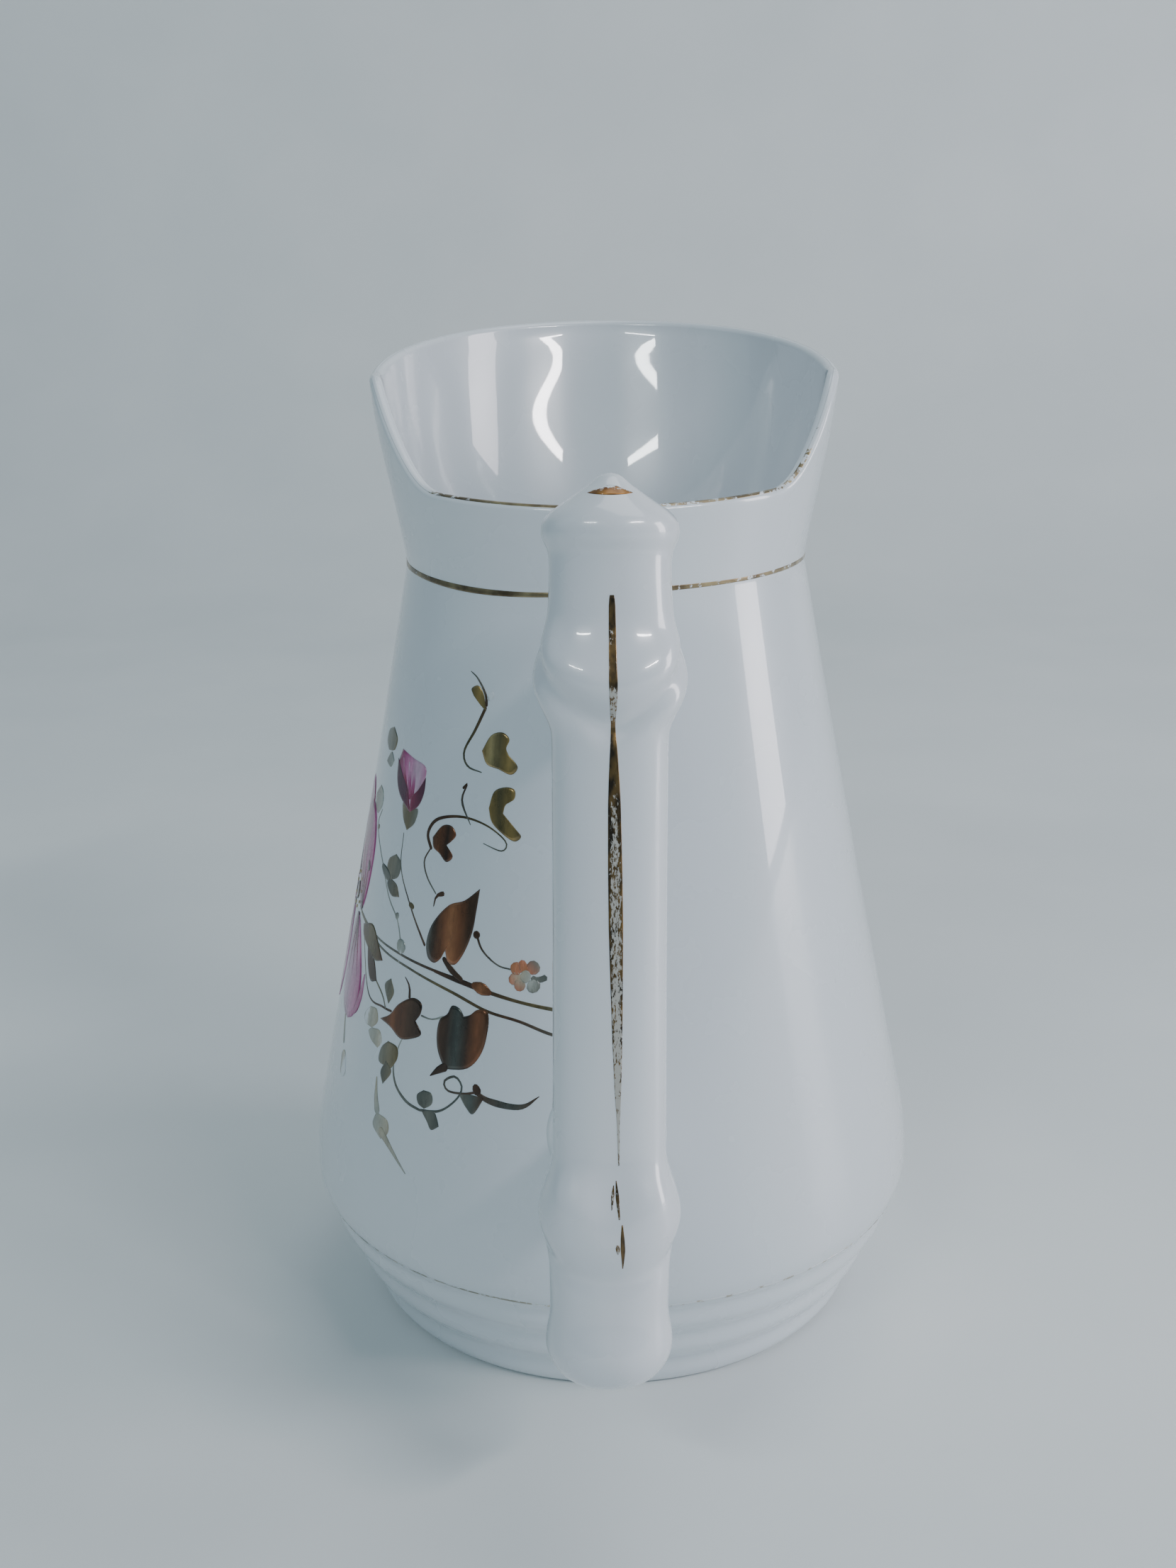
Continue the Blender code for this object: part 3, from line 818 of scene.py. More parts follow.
def build_finial_gilding(material):
    """A crescent of gold on the finial's slope, worn to flecks along its top."""
    turns = np.radians(np.linspace(-42, 40, 25))
    share = np.linspace(-1, 1, 25)
    low = (122.4 + 0.35 * share**2) * MM
    tall = 1.35 * MM * (1 - np.abs(share) ** 1.8) + 0.05 * MM
    rise = np.linspace(0, 1, 7)
    heights = low[:, None] + tall[:, None] * rise[None, :]
    surface = on_handle(heights, turns[:, None], GILT_LIFT)
    sunk = on_handle(heights, turns[:, None], GILT_SUNK)
    mesh = open_strip("finial_gold_dab", surface, sunk)
    set_strip_wear(mesh, 0.08 + 0.6 * np.broadcast_to(rise[None, :] ** 2, heights.shape))
    add_piece(mesh, [material], ["finial_gilding"])


# ---------------------------------------------------------------- painted spray

TONES = {  # the palette, in linear colour
    "gold": (0.40, 0.27, 0.09),
    "straw": (0.55, 0.42, 0.19),
    "olive": (0.17, 0.135, 0.06),
    "copper": (0.25, 0.095, 0.04),
    "ember": (0.46, 0.19, 0.08),
    "bronze": (0.055, 0.032, 0.02),
    "umber": (0.10, 0.052, 0.028),
    "moss": (0.23, 0.20, 0.13),
    "grey": (0.20, 0.205, 0.17),
    "slate": (0.10, 0.115, 0.10),
    "mist": (0.44, 0.46, 0.41),
    "sand": (0.50, 0.45, 0.33),
    "plum": (0.075, 0.008, 0.035),
    "crimson": (0.28, 0.012, 0.075),
    "magenta": (0.46, 0.07, 0.25),
    "pink": (0.60, 0.24, 0.42),
    "blush": (0.70, 0.48, 0.62),
    "coral": (0.52, 0.19, 0.10),
}
PAINT_SUNK = -0.08  # millimetres from the glaze to a plate's hidden back
FULL_COVER = 2.0  # more than any brush streak can break


class Brushwork:
    """Collects painted shapes that lie on the body's side into one mesh."""

    def __init__(self):
        self.verts = []
        self.faces = []
        self.colours = []
        self.cover = []

    def on_body(self, points, lift):
        """Moves points onto the body's side, lift millimetres above the glaze."""
        angle = np.arctan2(points[..., 0], AXIS_Y - points[..., 1])
        z = points[..., 2]
        return round_points(outer_radius(z) + lift * MM, z, angle)

    def plate(self, points, colours, cover, lift):
        """Adds a grid of points as a closed plate."""
        rows, columns = points.shape[:2]
        start, size = self.add_points(points.reshape(-1, 3), colours.reshape(-1, 3), cover, lift)
        for i in range(rows - 1):
            for j in range(columns - 1):
                a = start + i * columns + j
                self.add_both_sides((a, a + 1, a + columns + 1, a + columns), size)
        edge = [i * columns for i in range(rows)]
        edge += [(rows - 1) * columns + j for j in range(1, columns)]
        edge += [i * columns + columns - 1 for i in range(rows - 2, -1, -1)]
        edge += list(range(columns - 2, 0, -1))
        self.add_wall([start + v for v in edge], size)

    def stroke(self, path, widths, tones, cover=FULL_COVER, lift=0.03, across=7):
        """A brush stroke along points of (turn, height), with its widths and tones from start to end."""
        line = smooth_line(np.array([spot(*point) for point in path]), 10)
        line = self.on_body(line, 0)
        steps = np.linalg.norm(np.diff(line, axis=0), axis=1)
        along = np.concatenate([[0], np.cumsum(steps)])
        total = along[-1]
        count = max(6, int(total / (0.45 * MM)))
        spots = total * (1 - np.cos(np.linspace(0, math.pi, count))) / 2
        middle = np.stack([np.interp(spots, along, line[:, k]) for k in range(3)], axis=-1)
        share = spots / total
        half = np.interp(share, np.linspace(0, 1, len(widths)), widths) * MM / 2
        half = half * rounded_ends(spots, total, widths[0] * MM / 2, widths[-1] * MM / 2)
        tangent = np.gradient(middle, axis=0)
        normal = middle - np.array([0, AXIS_Y, 0])
        normal[:, 2] = 0
        side = np.cross(tangent, normal)
        side /= np.linalg.norm(side, axis=1)[:, None]
        spread = np.linspace(-1, 1, across)
        points = middle[:, None, :] + side[:, None, :] * (half[:, None] * spread[None, :])[..., None]
        colours = blend(tones, share)[:, None, :] * (1 - 0.18 * np.abs(spread) ** 3)[None, :, None]
        self.plate(points, colours, cover, lift)

    def leaf(self, side, back, tones, cover=FULL_COVER, lift=0.045, heart_at=0.45):
        """A leaf with its middle at heart_at of the way from its base to its tip. Its tones run across it
        from right to left: painted reflection bands on lustre, the paint's own shading on enamel.
        """
        scale = side_scale(side[0][1])
        first = smooth_line(np.array(side) * scale, 5)
        second = smooth_line(np.array([side[-1], *back, side[0]]) * scale, 5)
        outline = np.concatenate([first, second[1:-1]])
        centre = first[0] + (first[-1] - first[0]) * heart_at
        shares = np.linspace(0, 1, 9)[1:, None, None]
        flat = np.concatenate([centre[None], (centre + (outline - centre) * shares).reshape(-1, 2)])
        # Share from the leaf's right edge to its left: along it the tones paint reflection bands on the
        # lustre leaves, and give the enamel its own shading
        across = (outline[:, 0].max() - flat[:, 0]) / np.ptp(outline[:, 0])
        colours = blend(tones, np.clip(across, 0, 1))
        points = spot(flat[:, 0] / scale[0], flat[:, 1])
        self.disc(points, len(outline), colours, cover, lift)

    def disc(self, points, count, colours, cover, lift):
        """Adds a centre point and the rings of count points round it as a closed plate."""
        start, size = self.add_points(points, colours, cover, lift)
        for j in range(count):
            k = (j + 1) % count
            fan = (start, start + 1 + j, start + 1 + k)
            self.add_both_sides(fan, size)
        for ring in range((size - 1) // count - 1):
            low = start + 1 + ring * count
            for j in range(count):
                k = (j + 1) % count
                self.add_both_sides((low + j, low + j + count, low + k + count, low + k), size)
        self.add_wall([start + size - count + j for j in range(count)], size)

    def add_points(self, points, colours, cover, lift):
        """Adds the points above the glaze and again just under it."""
        start, size = len(self.verts), len(points)
        self.verts += [tuple(point) for point in self.on_body(points, lift)]
        self.verts += [tuple(point) for point in self.on_body(points, PAINT_SUNK)]
        self.colours += [tuple(colour) for colour in colours] * 2
        self.cover += [cover] * (2 * size)
        return start, size

    def add_both_sides(self, face, size):
        self.faces.append(face)
        self.faces.append(tuple(v + size for v in reversed(face)))

    def add_wall(self, edge, size):
        for a, b in zip(edge, edge[1:] + edge[:1]):
            self.faces.append((a, b, b + size, a + size))

    def finish(self, name, material):
        """Makes the piece and stores the colour and cover of each point."""
        mesh = bpy.data.meshes.new(name)
        mesh.from_pydata(self.verts, [], self.faces)
        colours = mesh.color_attributes.new("paint", "FLOAT_COLOR", "POINT")
        flat = np.concatenate([np.array(self.colours), np.ones((len(self.colours), 1))], axis=1)
        colours.data.foreach_set("color", flat.astype(np.float32).ravel())
        set_vertex_values(mesh, "cover", self.cover)
        turn_faces_out(mesh)
        add_piece(mesh, [material], [])


def spot(turn, height):
    """A point on the body's side, turn degrees left of the handle and height millimetres up."""
    angle = -np.radians(turn)
    return round_points(outer_radius(height * MM), height * MM, angle)


def side_scale(height):
    """Millimetres across the body's side to a degree of turn, and up it to a millimetre of height."""
    return np.array([math.radians(1) * float(outer_radius(height * MM)) / MM, 1.0])


def smooth_line(points, steps):
    """A smooth curve through points, ending on the first and last."""
    if len(points) == 2:
        share = np.linspace(0, 1, 6)[:, None]
        return points[0] * (1 - share) + points[1] * share
    padded = np.concatenate([[2 * points[0] - points[1]], points, [2 * points[-1] - points[-2]]])
    line = []
    for a, b, c, d in zip(padded, padded[1:], padded[2:], padded[3:]):
        bend = 2 * a - 5 * b + 4 * c - d
        twist = 3 * b - a - 3 * c + d
        for t in np.arange(steps) / steps:
            line.append(0.5 * (2 * b + (c - a) * t + bend * t**2 + twist * t**3))
    line.append(points[-1])
    return np.array(line)


def rounded_ends(spots, total, first, last):
    """Shrinks a stroke's width to a round point over half its width at each end."""
    first, last = max(first, 1e-6), max(last, 1e-6)
    width = 1.0
    for reach in (spots / first, (total - spots) / last):
        width *= np.sqrt(np.clip(1 - (1 - np.clip(reach, 0, 1)) ** 2, 0.0004, 1))
    return width


def blend(tones, share):
    """Colours along a line of tone names, from share 0 to 1."""
    table = np.array([TONES[tone] for tone in tones.split()])
    stops = np.linspace(0, 1, len(table))
    return np.stack([np.interp(share, stops, table[:, k]) for k in range(3)], axis=-1)


# Points are (turn, height), tones run along a stroke or across a leaf from its right edge to its left, and
# widths are in millimetres. On the lustre leaves the tones across a leaf are painted reflection bands, on the
# enamel the paint's own shading. A leaf's side runs from its base to its tip, its back holds the points on
# the way back, and its heart is the share of the way from base to tip where its middle lies. The higher the
# cover, the less glaze shows between the brush streaks. Lift is how far the paint stands above the glaze.

TWIN_STEMS = [  # points, widths, tones
    ([(74, 73.6), (61.1, 72.0), (50.1, 71.5), (39.1, 71.1)], [0.4, 0.35, 0.45], "olive grey umber"),
    ([(39.5, 71.1), (32.4, 70.6), (26.9, 70.0)], [0.5, 0.85, 0.8], "umber bronze umber"),
    ([(26.9, 70.0), (18.8, 69.1), (12.1, 68.5), (3, 67.8)], [0.65, 0.5, 0.6, 0.5], "umber olive grey"),
    ([(72, 73.2), (57.8, 70.8), (46.0, 69.9), (34.3, 68.6), (25.7, 66.9), (18.6, 66.1), (11.9, 64.6),
     (3, 63.2)], [0.35, 0.4, 0.35, 0.4, 0.5, 0.45, 0.5, 0.4], "olive grey olive umber grey"),
]
TENDRILS = [  # points, widths, tones
    ([(31.4, 113.2), (34.0, 109.5), (36.8, 105.9), (35.4, 103.8), (31.2, 103.2)],
     [0.5, 0.5, 0.4, 0.35, 0.15], "umber olive grey"),
    ([(36.9, 118.2), (34.4, 117.2), (31.8, 115.0), (31.3, 113.2)], [0.12, 0.3, 0.4, 0.5], "grey umber"),
    ([(35.0, 101.0), (36.1, 98.3), (33.1, 94.9)], [0.25, 0.42, 0.12], "umber grey"),
    ([(35.0, 101.2), (36.2, 100.2)], [0.2, 0.5], "umber"),
    ([(43.9, 89.6), (45.6, 92.0), (42.9, 94.6), (35.7, 95.9), (28.8, 95.3), (23.8, 93.3), (24.6, 91.8),
     (29.4, 92.5)], [0.6, 0.6, 0.5, 0.4, 0.3, 0.25, 0.22, 0.1], "umber umber olive grey"),
    ([(44.2, 89.8), (45.8, 87.5), (44.3, 85.2), (41.0, 83.0)], [0.22, 0.32, 0.28, 0.22], "umber grey"),
    ([(41.4, 80.9), (40.8, 82.7), (38.6, 83.5)], [0.15, 0.4, 1.0], "umber umber"),
    ([(54.7, 90.5), (54.0, 85.0), (48.6, 79.6), (42.6, 74.4)], [0.14, 0.2, 0.3, 0.45], "grey umber"),
    ([(49.3, 80.0), (47.4, 79.6)], [0.9, 0.9], "olive"),
    ([(67.8, 91.8), (69.1, 88.7), (62.3, 83.5), (57.4, 79.3), (52.8, 76.6), (50.4, 73.2)],
     [0.2, 0.26, 0.26], "grey mist"),
    ([(29.9, 78.8), (28.7, 77.9)], [1.2, 1.4], "umber"),
    ([(29.2, 78.2), (27.6, 76.1), (24.0, 74.3), (20.6, 73.9)], [0.4, 0.32, 0.24, 0.24], "umber grey"),
    ([(47.6, 68.4), (45.9, 67.2), (45.4, 65.2)], [0.12, 0.4, 0.6], "umber bronze"),
    ([(41.6, 63.4), (38.6, 63.4), (35.6, 64.4)], [0.3, 0.2, 0.4], "grey mist"),
    ([(67.5, 70.5), (60.5, 62.3), (53.9, 61.8), (50.5, 61.9)], [0.2, 0.26, 0.4], "grey umber"),
    ([(58.7, 65.5), (54.6, 63.6), (52.6, 61.6)], [0.25, 0.35, 0.25], "olive grey"),
    ([(45.9, 58.9), (47.0, 56.8), (47.8, 53.6), (46.4, 50.8), (43.0, 49.0), (39.2, 48.5)],
     [0.2, 0.25, 0.42, 0.5, 0.4], "mist grey slate"),
    ([(39.4, 48.5), (34.5, 49.5), (31.0, 52.0), (29.9, 54.2), (31.6, 55.6), (34.0, 54.4), (33.0, 53.1),
     (29.4, 53.3), (26.6, 54.0)], [0.4, 0.42, 0.34, 0.3, 0.34, 0.4, 0.34, 0.34, 0.4],
     "slate slate umber"),
    ([(27.0, 54.0), (23.6, 53.0), (17.6, 52.9), (14.0, 54.9)], [0.6, 1.1, 0.85, 0.1],
     "umber slate umber"),
]


def paint_stems(work):
    """Gilt stems and tendrils, drawn with the tip of the brush, then a knot and the big leaf's stalk."""
    for path, widths, tones in TWIN_STEMS:
        work.stroke(path, widths, tones, 0.66)
    for path, widths, tones in TENDRILS:
        work.stroke(path, widths, tones, 0.74, 0.035)
    knot = [(29.6, 70.6), (27.2, 70.2), (24.9, 69.7)]
    work.stroke(knot, [0.8, 2.2, 0.7], "copper ember copper", lift=0.05)
    stalk = [(37.3, 73.6), (34.6, 71.9), (31.8, 70.8)]
    work.stroke(stalk, [0.8, 1.1, 0.7], "bronze umber", lift=0.04)


# Across these lustre leaves the tones are their gold with painted reflection bands in it
GOLD_LEAVES = [  # side, back, tones, heart
    ([(35.4, 114.6), (36.2, 115.6), (34.2, 116.2), (32.4, 115.0), (31.3, 112.6)], [(33.0, 113.3)],
     "olive gold olive", 0.45),
    ([(24.4, 106.4), (25.1, 107.4), (24.4, 108.8), (26.4, 109.7), (29.4, 109.0), (31.6, 106.5)],
     [(30.0, 104.6), (26.8, 104.1), (23.4, 103.5), (21.9, 104.8)], "gold straw olive gold olive", 0.45),
    ([(24.9, 97.5), (24.3, 98.9), (22.3, 99.9), (22.4, 101.3), (24.8, 101.5), (27.5, 100.6),
     (28.6, 98.0)], [(27.6, 96.0), (24.9, 94.5), (21.8, 93.5), (20.2, 94.3), (21.6, 95.4)],
     "gold olive gold olive", 0.55),
]
# Across these lustre leaves the tones paint the bright and dark reflection bands of the metal over its copper
COPPER_LEAVES = [  # side, back, tones, heart
    ([(39.4, 91.0), (38.2, 91.7), (36.9, 92.9), (38.4, 94.1), (41.2, 93.8), (43.9, 91.6)],
     [(43.3, 90.1), (41.2, 89.4), (39.0, 88.4), (37.3, 89.5)], "umber copper bronze copper", 0.45),
    ([(37.0, 75.0), (37.8, 73.4), (39.6, 72.3), (41.6, 73.0), (42.3, 75.4), (40.9, 78.6), (37.0, 81.9),
     (33.0, 83.2), (29.3, 85.5)],
     [(29.8, 82.0), (30.4, 78.6), (32.0, 75.2), (34.0, 73.0), (36.0, 73.2)],
     "slate umber copper ember copper umber bronze", 0.3),
    ([(42.9, 62.2), (41.7, 63.7), (41.8, 65.3), (44.6, 65.6), (48.6, 63.6), (51.0, 61.3), (54.2, 59.8)],
     [(50.3, 59.4), (46.8, 58.4), (43.4, 59.2), (41.0, 60.5)], "umber copper umber bronze", 0.35),
    ([(30.7, 65.3), (32.0, 66.4), (33.8, 66.5), (34.8, 65.0), (36.5, 63.8), (36.9, 61.4), (36.2, 58.8),
     (34.2, 56.3)],
     [(29.0, 57.4), (26.1, 60.4), (25.1, 64.6), (25.6, 66.9), (27.8, 66.8), (29.3, 65.8)],
     "umber bronze slate bronze copper umber", 0.4),
]


def paint_gold_leaves(work):
    """Three bright leaves above the stems, and a faint touch beside the first."""
    for side, back, tones, heart_at in GOLD_LEAVES:
        work.leaf(side, back, tones, heart_at=heart_at)
    work.stroke([(31.0, 115.2), (29.6, 114.6)], [1.8, 2.4], "mist", 0.56, 0.06)


def paint_copper_leaves(work):
    """Four dark, broad leaves, the last with its tip drawn out by the brush."""
    for side, back, tones, heart_at in COPPER_LEAVES:
        work.leaf(side, back, tones, heart_at=heart_at)
    tip = [(33.6, 56.9), (35.6, 55.9), (37.6, 54.5)]
    work.stroke(tip, [1.6, 1.1, 0.12], "bronze", lift=0.05)


# Across these lustre leaves the tones hold painted reflection bands
OLIVE_LEAVES = [  # side, back, tones
    ([(69.4, 101.5), (65.2, 102.2), (64.3, 104.2), (67.6, 105.6)], [(71.2, 104.6), (72.0, 102.7)],
     "grey moss"),
    ([(69.8, 99.6), (66.2, 99.2), (64.4, 100.6)], [(67.0, 101.6)], "grey mist"),
    ([(70.8, 90.5), (68.2, 92.3), (68.6, 94.4), (71.4, 95.2)], [(74.7, 93.2), (73.6, 91.2)], "moss mist"),
    ([(57.6, 82.1), (54.6, 83.3), (54.1, 85.6), (56.6, 86.6)], [(59.7, 85.2), (59.9, 83.3)], "moss grey"),
    ([(58.2, 82.4), (54.8, 81.9), (53.2, 80.2)], [(56.4, 79.8), (59.0, 81.2)], "slate moss"),
    ([(68.8, 72.0), (63.4, 73.3), (60.0, 71.7), (56.4, 68.9)],
     [(60.0, 68.1), (64.0, 69.1), (67.8, 70.4)], "umber olive umber"),
    ([(64.4, 69.8), (60.2, 68.3), (57.7, 65.1)], [(60.4, 64.5), (62.8, 66.6)], "umber bronze"),
    ([(52.0, 62.8), (50.6, 65.0), (52.2, 67.0)], [(54.2, 65.4)], "grey moss"),
    ([(48.4, 53.0), (46.9, 55.0), (47.4, 56.8), (50.4, 57.0)], [(52.4, 55.4), (52.6, 53.0)],
     "grey moss olive"),
    ([(50.2, 53.8), (48.2, 52.4), (50.4, 49.8)], [(51.6, 51.6)], "slate moss"),
    ([(38.2, 49.0), (36.4, 50.2), (36.8, 51.8), (38.8, 51.9)], [(40.3, 50.8), (39.8, 49.5)],
     "slate grey"),
    ([(38.8, 48.6), (36.0, 49.2), (34.9, 48.2), (34.3, 47.0)], [(36.0, 46.1), (37.2, 47.2)],
     "grey slate"),
    ([(30.4, 53.0), (28.0, 53.4), (25.0, 53.3)], [(27.0, 50.5), (28.6, 51.2)], "grey slate umber"),
]
OLIVE_TOUCHES = [  # points, widths, tones, cover
    ([(69.0, 89.0), (68.2, 88.4)], [1.0, 1.1], "grey moss", 0.8),
    ([(62.8, 83.6), (60.6, 82.9), (58.0, 82.2)], [0.8, 1.8, 1.4], "slate grey", 0.8),
    ([(53.6, 77.4), (52.4, 77.0)], [1.1, 1.3], "grey mist", 0.7),
    ([(51.4, 73.6), (49.0, 72.0)], [2.0, 2.6], "mist mist", 0.58),
    ([(27.2, 55.2), (26.2, 53.6)], [1.0, 1.8], "umber bronze", 2.0),
]


def paint_olive_leaves(work):
    """Small dull leaves along the tendrils."""
    for side, back, tones in OLIVE_LEAVES:
        work.leaf(side, back, tones, 0.8)
    for path, widths, tones, cover in OLIVE_TOUCHES:
        work.stroke(path, widths, tones, cover, 0.06)


BUD_PETALS = [  # side, back, tones, cover, lift
    ([(53.8, 95.0), (59.6, 98.2), (61.4, 100.8), (60.2, 103.2)],
     [(54.8, 102.6), (49.0, 101.8), (49.8, 98.6)], "crimson magenta pink blush pink", 0.74, 0.045),
    ([(53.2, 94.0), (58.6, 95.9), (61.2, 98.2), (62.0, 101.4)], [(58.4, 99.2), (55.2, 97.2)],
     "plum plum plum crimson", 2.0, 0.065),
    ([(53.4, 94.0), (50.2, 95.6), (48.7, 97.8), (48.6, 100.3)], [(51.0, 98.0), (53.4, 96.4)],
     "crimson plum", 2.0, 0.07),
    ([(53.6, 91.1), (50.9, 92.7), (50.2, 95.0), (52.6, 94.6)], [(56.6, 95.2), (55.8, 92.8)],
     "moss olive grey", 0.9, 0.06),
]
BUD_STREAKS = [  # points, tones
    ([(59.2, 102.0), (57.4, 99.0), (54.8, 96.0)], "pink crimson plum"),
    ([(56.2, 101.8), (55.2, 99.2), (53.8, 96.0)], "blush magenta crimson"),
    ([(53.2, 101.0), (53.2, 99.0), (53.2, 96.4)], "blush magenta crimson"),
]


def paint_bud(work):
    """The half-open bud: pale petals between two dark ones, over an olive calyx."""
    for side, back, tones, cover, lift in BUD_PETALS:
        work.leaf(side, back, tones, cover, lift)
    for path, tones in BUD_STREAKS:
        work.stroke(path, [0.3, 0.9, 1.0], tones, 0.8, 0.055)


PETALS = [  # base, tip, half width in millimetres, tones
    ((78.6, 77.4), (82.0, 95.0), 4.6, "blush magenta crimson"),
    ((82.2, 77.2), (99.5, 88.0), 4.6, "blush pink plum"),
    ((83.0, 74.6), (104.0, 70.0), 4.6, "blush pink crimson"),
    ((81.2, 73.0), (90.0, 53.0), 5.2, "blush magenta pink"),
    ((72.4, 73.6), (77.4, 91.6), 5.0, "crimson crimson magenta magenta"),
    ((74.2, 72.6), (69.8, 55.0), 5.0, "blush pink magenta"),
]
# Share of the way along a petal and of its half width, up one side
PETAL_OUTLINE = [(0.0, 0.0), (0.08, 0.34), (0.3, 0.74), (0.58, 1.0), (0.82, 0.86), (0.95, 0.48), (1.0, 0.0)]
EYE = np.array([79.0, 75.2])  # turn and height of the main flower's middle


def petal_sides(base, tip, half):
    """Both sides of a rounded petal, in (turn, height)."""
    scale = side_scale(base[1])
    start, end = np.array(base), np.array(tip)
    flat = (end - start) * scale
    out = np.array([-flat[1], flat[0]]) * half / np.linalg.norm(flat) / scale
    side = [start + (end - start) * along + out * wide for along, wide in PETAL_OUTLINE]
    other = [start + (end - start) * along - out * wide for along, wide in reversed(PETAL_OUTLINE)]
    return side, other


def paint_petals(work):
    """Overlapping petals, each with three dark streaks from its base."""
    for number, (base, tip, half, tones) in enumerate(PETALS):
        lift = 0.045 + 0.01 * number
        side, other = petal_sides(base, tip, half)
        work.leaf(side, other[1:-1], tones, 0.9, lift)
        for lean in (0.2, 0.5, 0.8):
            end = side[3] + (other[3] - side[3]) * lean
            path = [side[0], side[0] + (end - side[0]) * 0.5, end]
            work.stroke(path, [1.3, 0.9, 0.12], "plum crimson magenta", 0.85, lift + 0.006, 5)


def paint_flower(work):
    """The main flower, on the jug's left side: loose petals round a dark eye and nine stamens."""
    paint_petals(work)
    curl = [(68.4, 56.6), (66.0, 57.6), (64.2, 60.6), (63.6, 64.6)]
    work.stroke(curl, [0.4, 1.4, 1.2, 0.2], "magenta magenta pink", 0.8, 0.1)
    work.stroke([EYE + (1.6, 0), EYE - (1.6, 0)], [3.6, 3.6], "plum umber", lift=0.12)
    for angle in np.arange(9) * math.tau / 9:
        stamen = EYE + (4.2 * math.sin(angle), 3.0 * math.cos(angle))
        work.stroke([stamen, stamen + (0.6, 0.3)], [0.7, 0.7], "straw gold", lift=0.13, across=3)
    work.stroke([(71.8, 82.2), (70.6, 80.6)], [1.0, 1.5], "plum", lift=0.12)


SMALL_FLOWER = [  # points, widths, tones
    ([(17.8, 73.6), (18.8, 75.6)], [1.6, 1.2], "ember coral"),
    ([(17.2, 73.8), (15.2, 75.4)], [1.8, 2.6], "coral grey"),
    ([(16.6, 73.0), (15.0, 72.8), (13.2, 73.4)], [1.2, 0.8, 1.2], "grey slate"),
    ([(16.8, 72.6), (15.2, 71.0)], [2.0, 3.0], "mist grey"),
    ([(18.4, 72.6), (19.4, 70.8)], [2.2, 1.6], "sand coral"),
    ([(18.6, 73.2), (21.2, 72.0)], [2.2, 1.6], "sand coral"),
    ([(18.6, 73.8), (21.0, 74.6)], [2.4, 1.8], "coral ember"),
]


def paint_small_flower(work):
    """Coral and grey dabs round a pale middle, next to the handle."""
    for path, widths, tones in SMALL_FLOWER:
        work.stroke(path, widths, tones, 0.75, 0.05)
    work.stroke([(18.8, 73.3), (16.6, 73.0)], [2.2, 2.2], "sand mist", 0.8, 0.06)


FAINT_LEAVES = [  # side, back
    ([(56.9, 57.4), (55.0, 59.0), (56.0, 60.8), (58.6, 60.6)], [(60.7, 58.8), (59.8, 57.5)]),
    ([(57.0, 57.4), (53.8, 57.8), (52.6, 56.2), (53.8, 54.9)], [(56.6, 55.5), (58.0, 56.6)]),
    ([(51.2, 44.8), (47.6, 44.5), (46.9, 42.6), (48.8, 41.0)], [(51.8, 42.5)]),
]
FAINT_TOUCHES = [  # points, widths
    ([(52.6, 50.4), (52.0, 47.3), (50.8, 44.6)], [0.2, 0.9, 1.6]),
    ([(49.6, 42.6), (46.0, 40.6), (41.0, 37.5)], [1.6, 0.7, 0.12]),
    ([(68.8, 49.6), (67.2, 45.4)], [2.2, 3.2]),
    ([(72.0, 55.0), (69.8, 50.4)], [0.3, 0.8]),
]


def paint_faint_leaves(work):
    """Pale leaves where the colour was thin, low on the left."""
    for side, back in FAINT_LEAVES:
        work.leaf(side, back, "mist sand", 0.58)
    for path, widths in FAINT_TOUCHES:
        work.stroke(path, widths, "sand mist", 0.54, 0.06)


FAR_STEMS = [  # points, widths, tones
    ([(88, 80), (100, 92), (107, 103), (118, 108)], [0.7, 0.6, 0.5, 0.2], "umber olive"),
    ([(90, 72), (104, 66), (118, 66), (130, 72), (134, 79)], [0.7, 0.6, 0.5, 0.4, 0.15], "umber olive"),
    ([(88, 70), (98, 56), (108, 49), (118, 50), (121, 54), (118, 56)], [0.6, 0.6, 0.5, 0.4, 0.3],
     "slate olive"),
    ([(102, 94), (109, 94), (113, 90)], [0.4, 0.3, 0.15], "olive grey"),
]
# Across these lustre leaves the tones hold painted reflection bands
FAR_LEAVES = [  # base, tip, half width, tones
    ((107, 99), (115, 92), 4.6, "umber copper bronze"),
    ((118, 67), (128, 59), 4.8, "copper ember bronze"),
    ((103, 66.5), (110, 76), 4.4, "slate umber bronze"),
    ((100, 54), (94, 45), 4.0, "bronze copper"),
    ((124, 69), (127, 76), 2.4, "gold olive"),
    ((104, 101), (101, 107), 2.4, "gold olive"),
    ((97, 90), (92, 98), 2.4, "moss grey"),
    ((113, 50), (116, 44), 2.2, "moss grey"),
]
# Share of the way along a heart-shaped leaf and of its half width, up one side
HEART_OUTLINE = [(0.0, 0.45), (0.12, 0.85), (0.35, 1.0), (0.62, 0.72), (0.84, 0.3)]
HEART_NOTCH = 0.12


def paint_far_side(work, stems):
    """The spray's other half, past the flower: stems, leaves and tendrils."""
    for path, widths, tones in FAR_STEMS:
        stems.stroke(path, widths, tones)
    for base, tip, half, tones in FAR_LEAVES:
        start, end = np.array(base, float), np.array(tip, float)
        out = np.array([end[1] - start[1], start[0] - end[0]]) * half / np.linalg.norm(end - start)
        swell = [start + (end - start) * along + out * wide for along, wide in HEART_OUTLINE]
        shrink = [start + (end - start) * along - out * wide for along, wide in reversed(HEART_OUTLINE)]
        notch = start + (end - start) * HEART_NOTCH
        work.leaf([notch, *swell, end], shrink, tones, 0.9, heart_at=0.35)


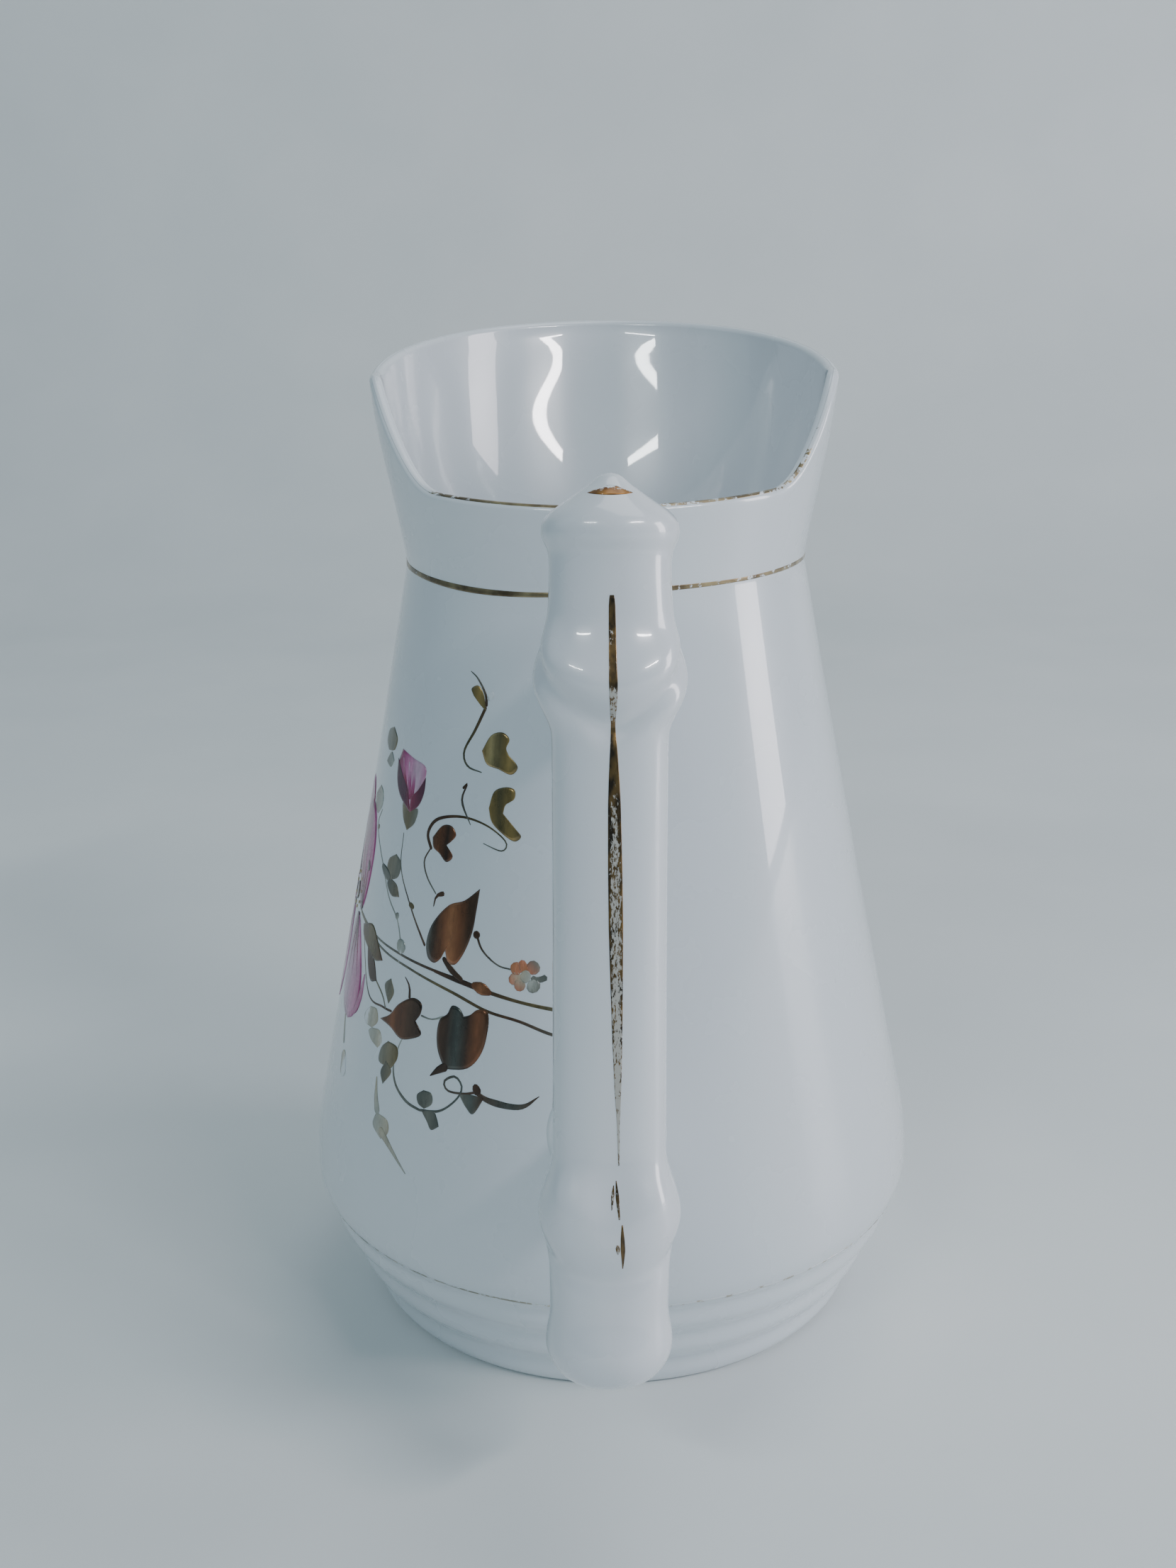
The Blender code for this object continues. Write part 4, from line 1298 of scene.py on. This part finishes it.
def build_spray():
    """One mesh for each kind of motif: leaves and stems in lustre, flowers in enamel."""
    lustre = paint_material("brushed_lustre", 0.75, 0.24, 380)
    enamel = paint_material("brushed_enamel", 0.0, 0.2, 300)
    stems, copper = Brushwork(), Brushwork()
    paint_stems(stems)
    paint_copper_leaves(copper)
    paint_far_side(copper, stems)
    stems.finish("spray_stems", lustre)
    copper.finish("spray_copper_leaves", lustre)
    for name, paint, material in [
        ("spray_gold_leaves", paint_gold_leaves, lustre),
        ("spray_olive_leaves", paint_olive_leaves, lustre),
        ("spray_bud", paint_bud, enamel),
        ("spray_main_flower", paint_flower, enamel),
        ("spray_small_flower", paint_small_flower, enamel),
        ("spray_faint_leaves", paint_faint_leaves, enamel),
    ]:
        work = Brushwork()
        paint(work)
        work.finish(name, material)


# ---------------------------------------------------------------- studio


def floor_material():
    tree = NodeTree("pale_floor")
    cloud = tree.noise(14, 4.0)
    tree.shade("Base Color", tree.ramp(cloud, [(0.3, (0.76, 0.80, 0.80)), (0.75, (0.82, 0.85, 0.845))]))
    tree.shade("Roughness", 0.45)
    return tree.material


def build_stage():
    """A plain pale table that sweeps up into a backdrop."""
    depth, width, bend, height = 0.55, 2.4, 0.25, 1.6
    profile = [(-1.4, 0.0), (depth, 0.0)]
    for step in range(1, 13):
        angle = step * math.pi / 24
        profile.append((depth + bend * math.sin(angle), bend * (1 - math.cos(angle))))
    profile.append((depth + bend, height))
    points = np.array([[(side * width, y, z) for side in (-1, 1)] for y, z in profile])
    floor = bpy.data.objects.new("floor", grid_mesh("floor", points, loop_columns=False))
    floor.data.materials.append(floor_material())
    bpy.context.scene.collection.objects.link(floor)


def aim(item, target):
    item.rotation_euler = (Vector(target) - item.location).to_track_quat("-Z", "Y").to_euler()


def add_light(name, place, target, size, power, colour):
    """A soft rectangular lamp of a width and height in metres and a power in watts."""
    data = bpy.data.lights.new(name, "AREA")
    data.shape = "RECTANGLE"
    data.size, data.size_y = size
    data.energy = power
    data.color = colour
    light = bpy.data.objects.new(name, data)
    light.location = place
    bpy.context.scene.collection.objects.link(light)
    aim(light, target)


def build_lights():
    """A dim cool room, a bright window on the right, a faint one on the left, and lamps overhead."""
    middle = (0, AXIS_Y, 0.09)
    world = bpy.data.worlds.new("studio")
    world.use_nodes = True
    background = world.node_tree.nodes["Background"]
    background.inputs["Color"].default_value = (0.36, 0.58, 0.72, 1)
    background.inputs["Strength"].default_value = 0.33
    bpy.context.scene.world = world
    add_light("window_right", (1.15, -0.12, 0.36), middle, (0.34, 0.7), 6.4, (1.0, 0.94, 0.99))
    add_light("window_left", (-1.1, -0.1, 0.7), middle, (0.7, 0.8), 0.4, (0.75, 0.93, 1.0))
    add_light("overhead", (0.25, 0.15, 1.15), middle, (0.9, 0.6), 2.6, (0.97, 0.98, 1.0))
    add_light("ceiling_left", (-0.42, -0.75, 0.79), middle, (0.34, 0.03), 1.9, (0.93, 0.99, 1))
    add_light("ceiling_right", (0.6, -0.64, 0.8), middle, (0.4, 0.04), 3.9, (1, 0.97, 1))


def build_camera():
    """The camera stands close behind the handle, looking down on the jug."""
    data = bpy.data.cameras.new("camera")
    data.sensor_width = 36
    data.lens = 42.3146
    camera = bpy.data.objects.new("camera", data)
    pitch, roll = math.radians(17.5), 0.013
    turn = Matrix.Rotation(math.pi / 2 - pitch, 4, "X") @ Matrix.Rotation(-roll, 4, "Z")
    place = Vector((-3.4 * MM, AXIS_Y - 303.6 * MM, 186.6 * MM))
    camera.matrix_world = Matrix.Translation(place) @ turn
    bpy.context.scene.collection.objects.link(camera)
    bpy.context.scene.camera = camera


# ---------------------------------------------------------------- assembly


def build_jug():
    white = porcelain_material("body_glaze", (0.72, 0.79, 0.84), 9)
    handle_white = porcelain_material("handle_glaze", (0.75, 0.78, 0.83), 16)
    slip_white = porcelain_material("slip_glaze", (0.72, 0.78, 0.81), 40)
    line_gold = gilding_material("line_gilding", (0.13, 0.09, 0.05), (0.48, 0.38, 0.21), 900)
    pale_gold = gilding_material("worn_foot_gilding", (0.34, 0.31, 0.23), (0.58, 0.54, 0.44), 500)
    stripe_gold = gilding_material(
        "stripe_gilding", (0.045, 0.032, 0.02), (0.25, 0.15, 0.055), 3600, (1, 1, 0.3), (0.46, 0.45, 0.41)
    )
    dab_gold = gilding_material("dab_gilding", (0.20, 0.08, 0.02), (0.48, 0.23, 0.06), 1500)
    build_body(white, bisque_material())
    build_handle(handle_white)
    build_slip("upper_slip_fillet", "upper_luting_slip", UPPER_KNUCKLE, slip_white)
    build_slip("lower_slip_fillet", "lower_luting_slip", LOWER_KNUCKLE, slip_white)
    build_rim_gilding(line_gold)
    build_neck_gilding(line_gold)
    build_foot_gilding(pale_gold)
    build_grip_gilding(stripe_gold)
    build_finial_gilding(dab_gold)
    build_spray()


build_stage()
build_lights()
build_camera()
build_jug()
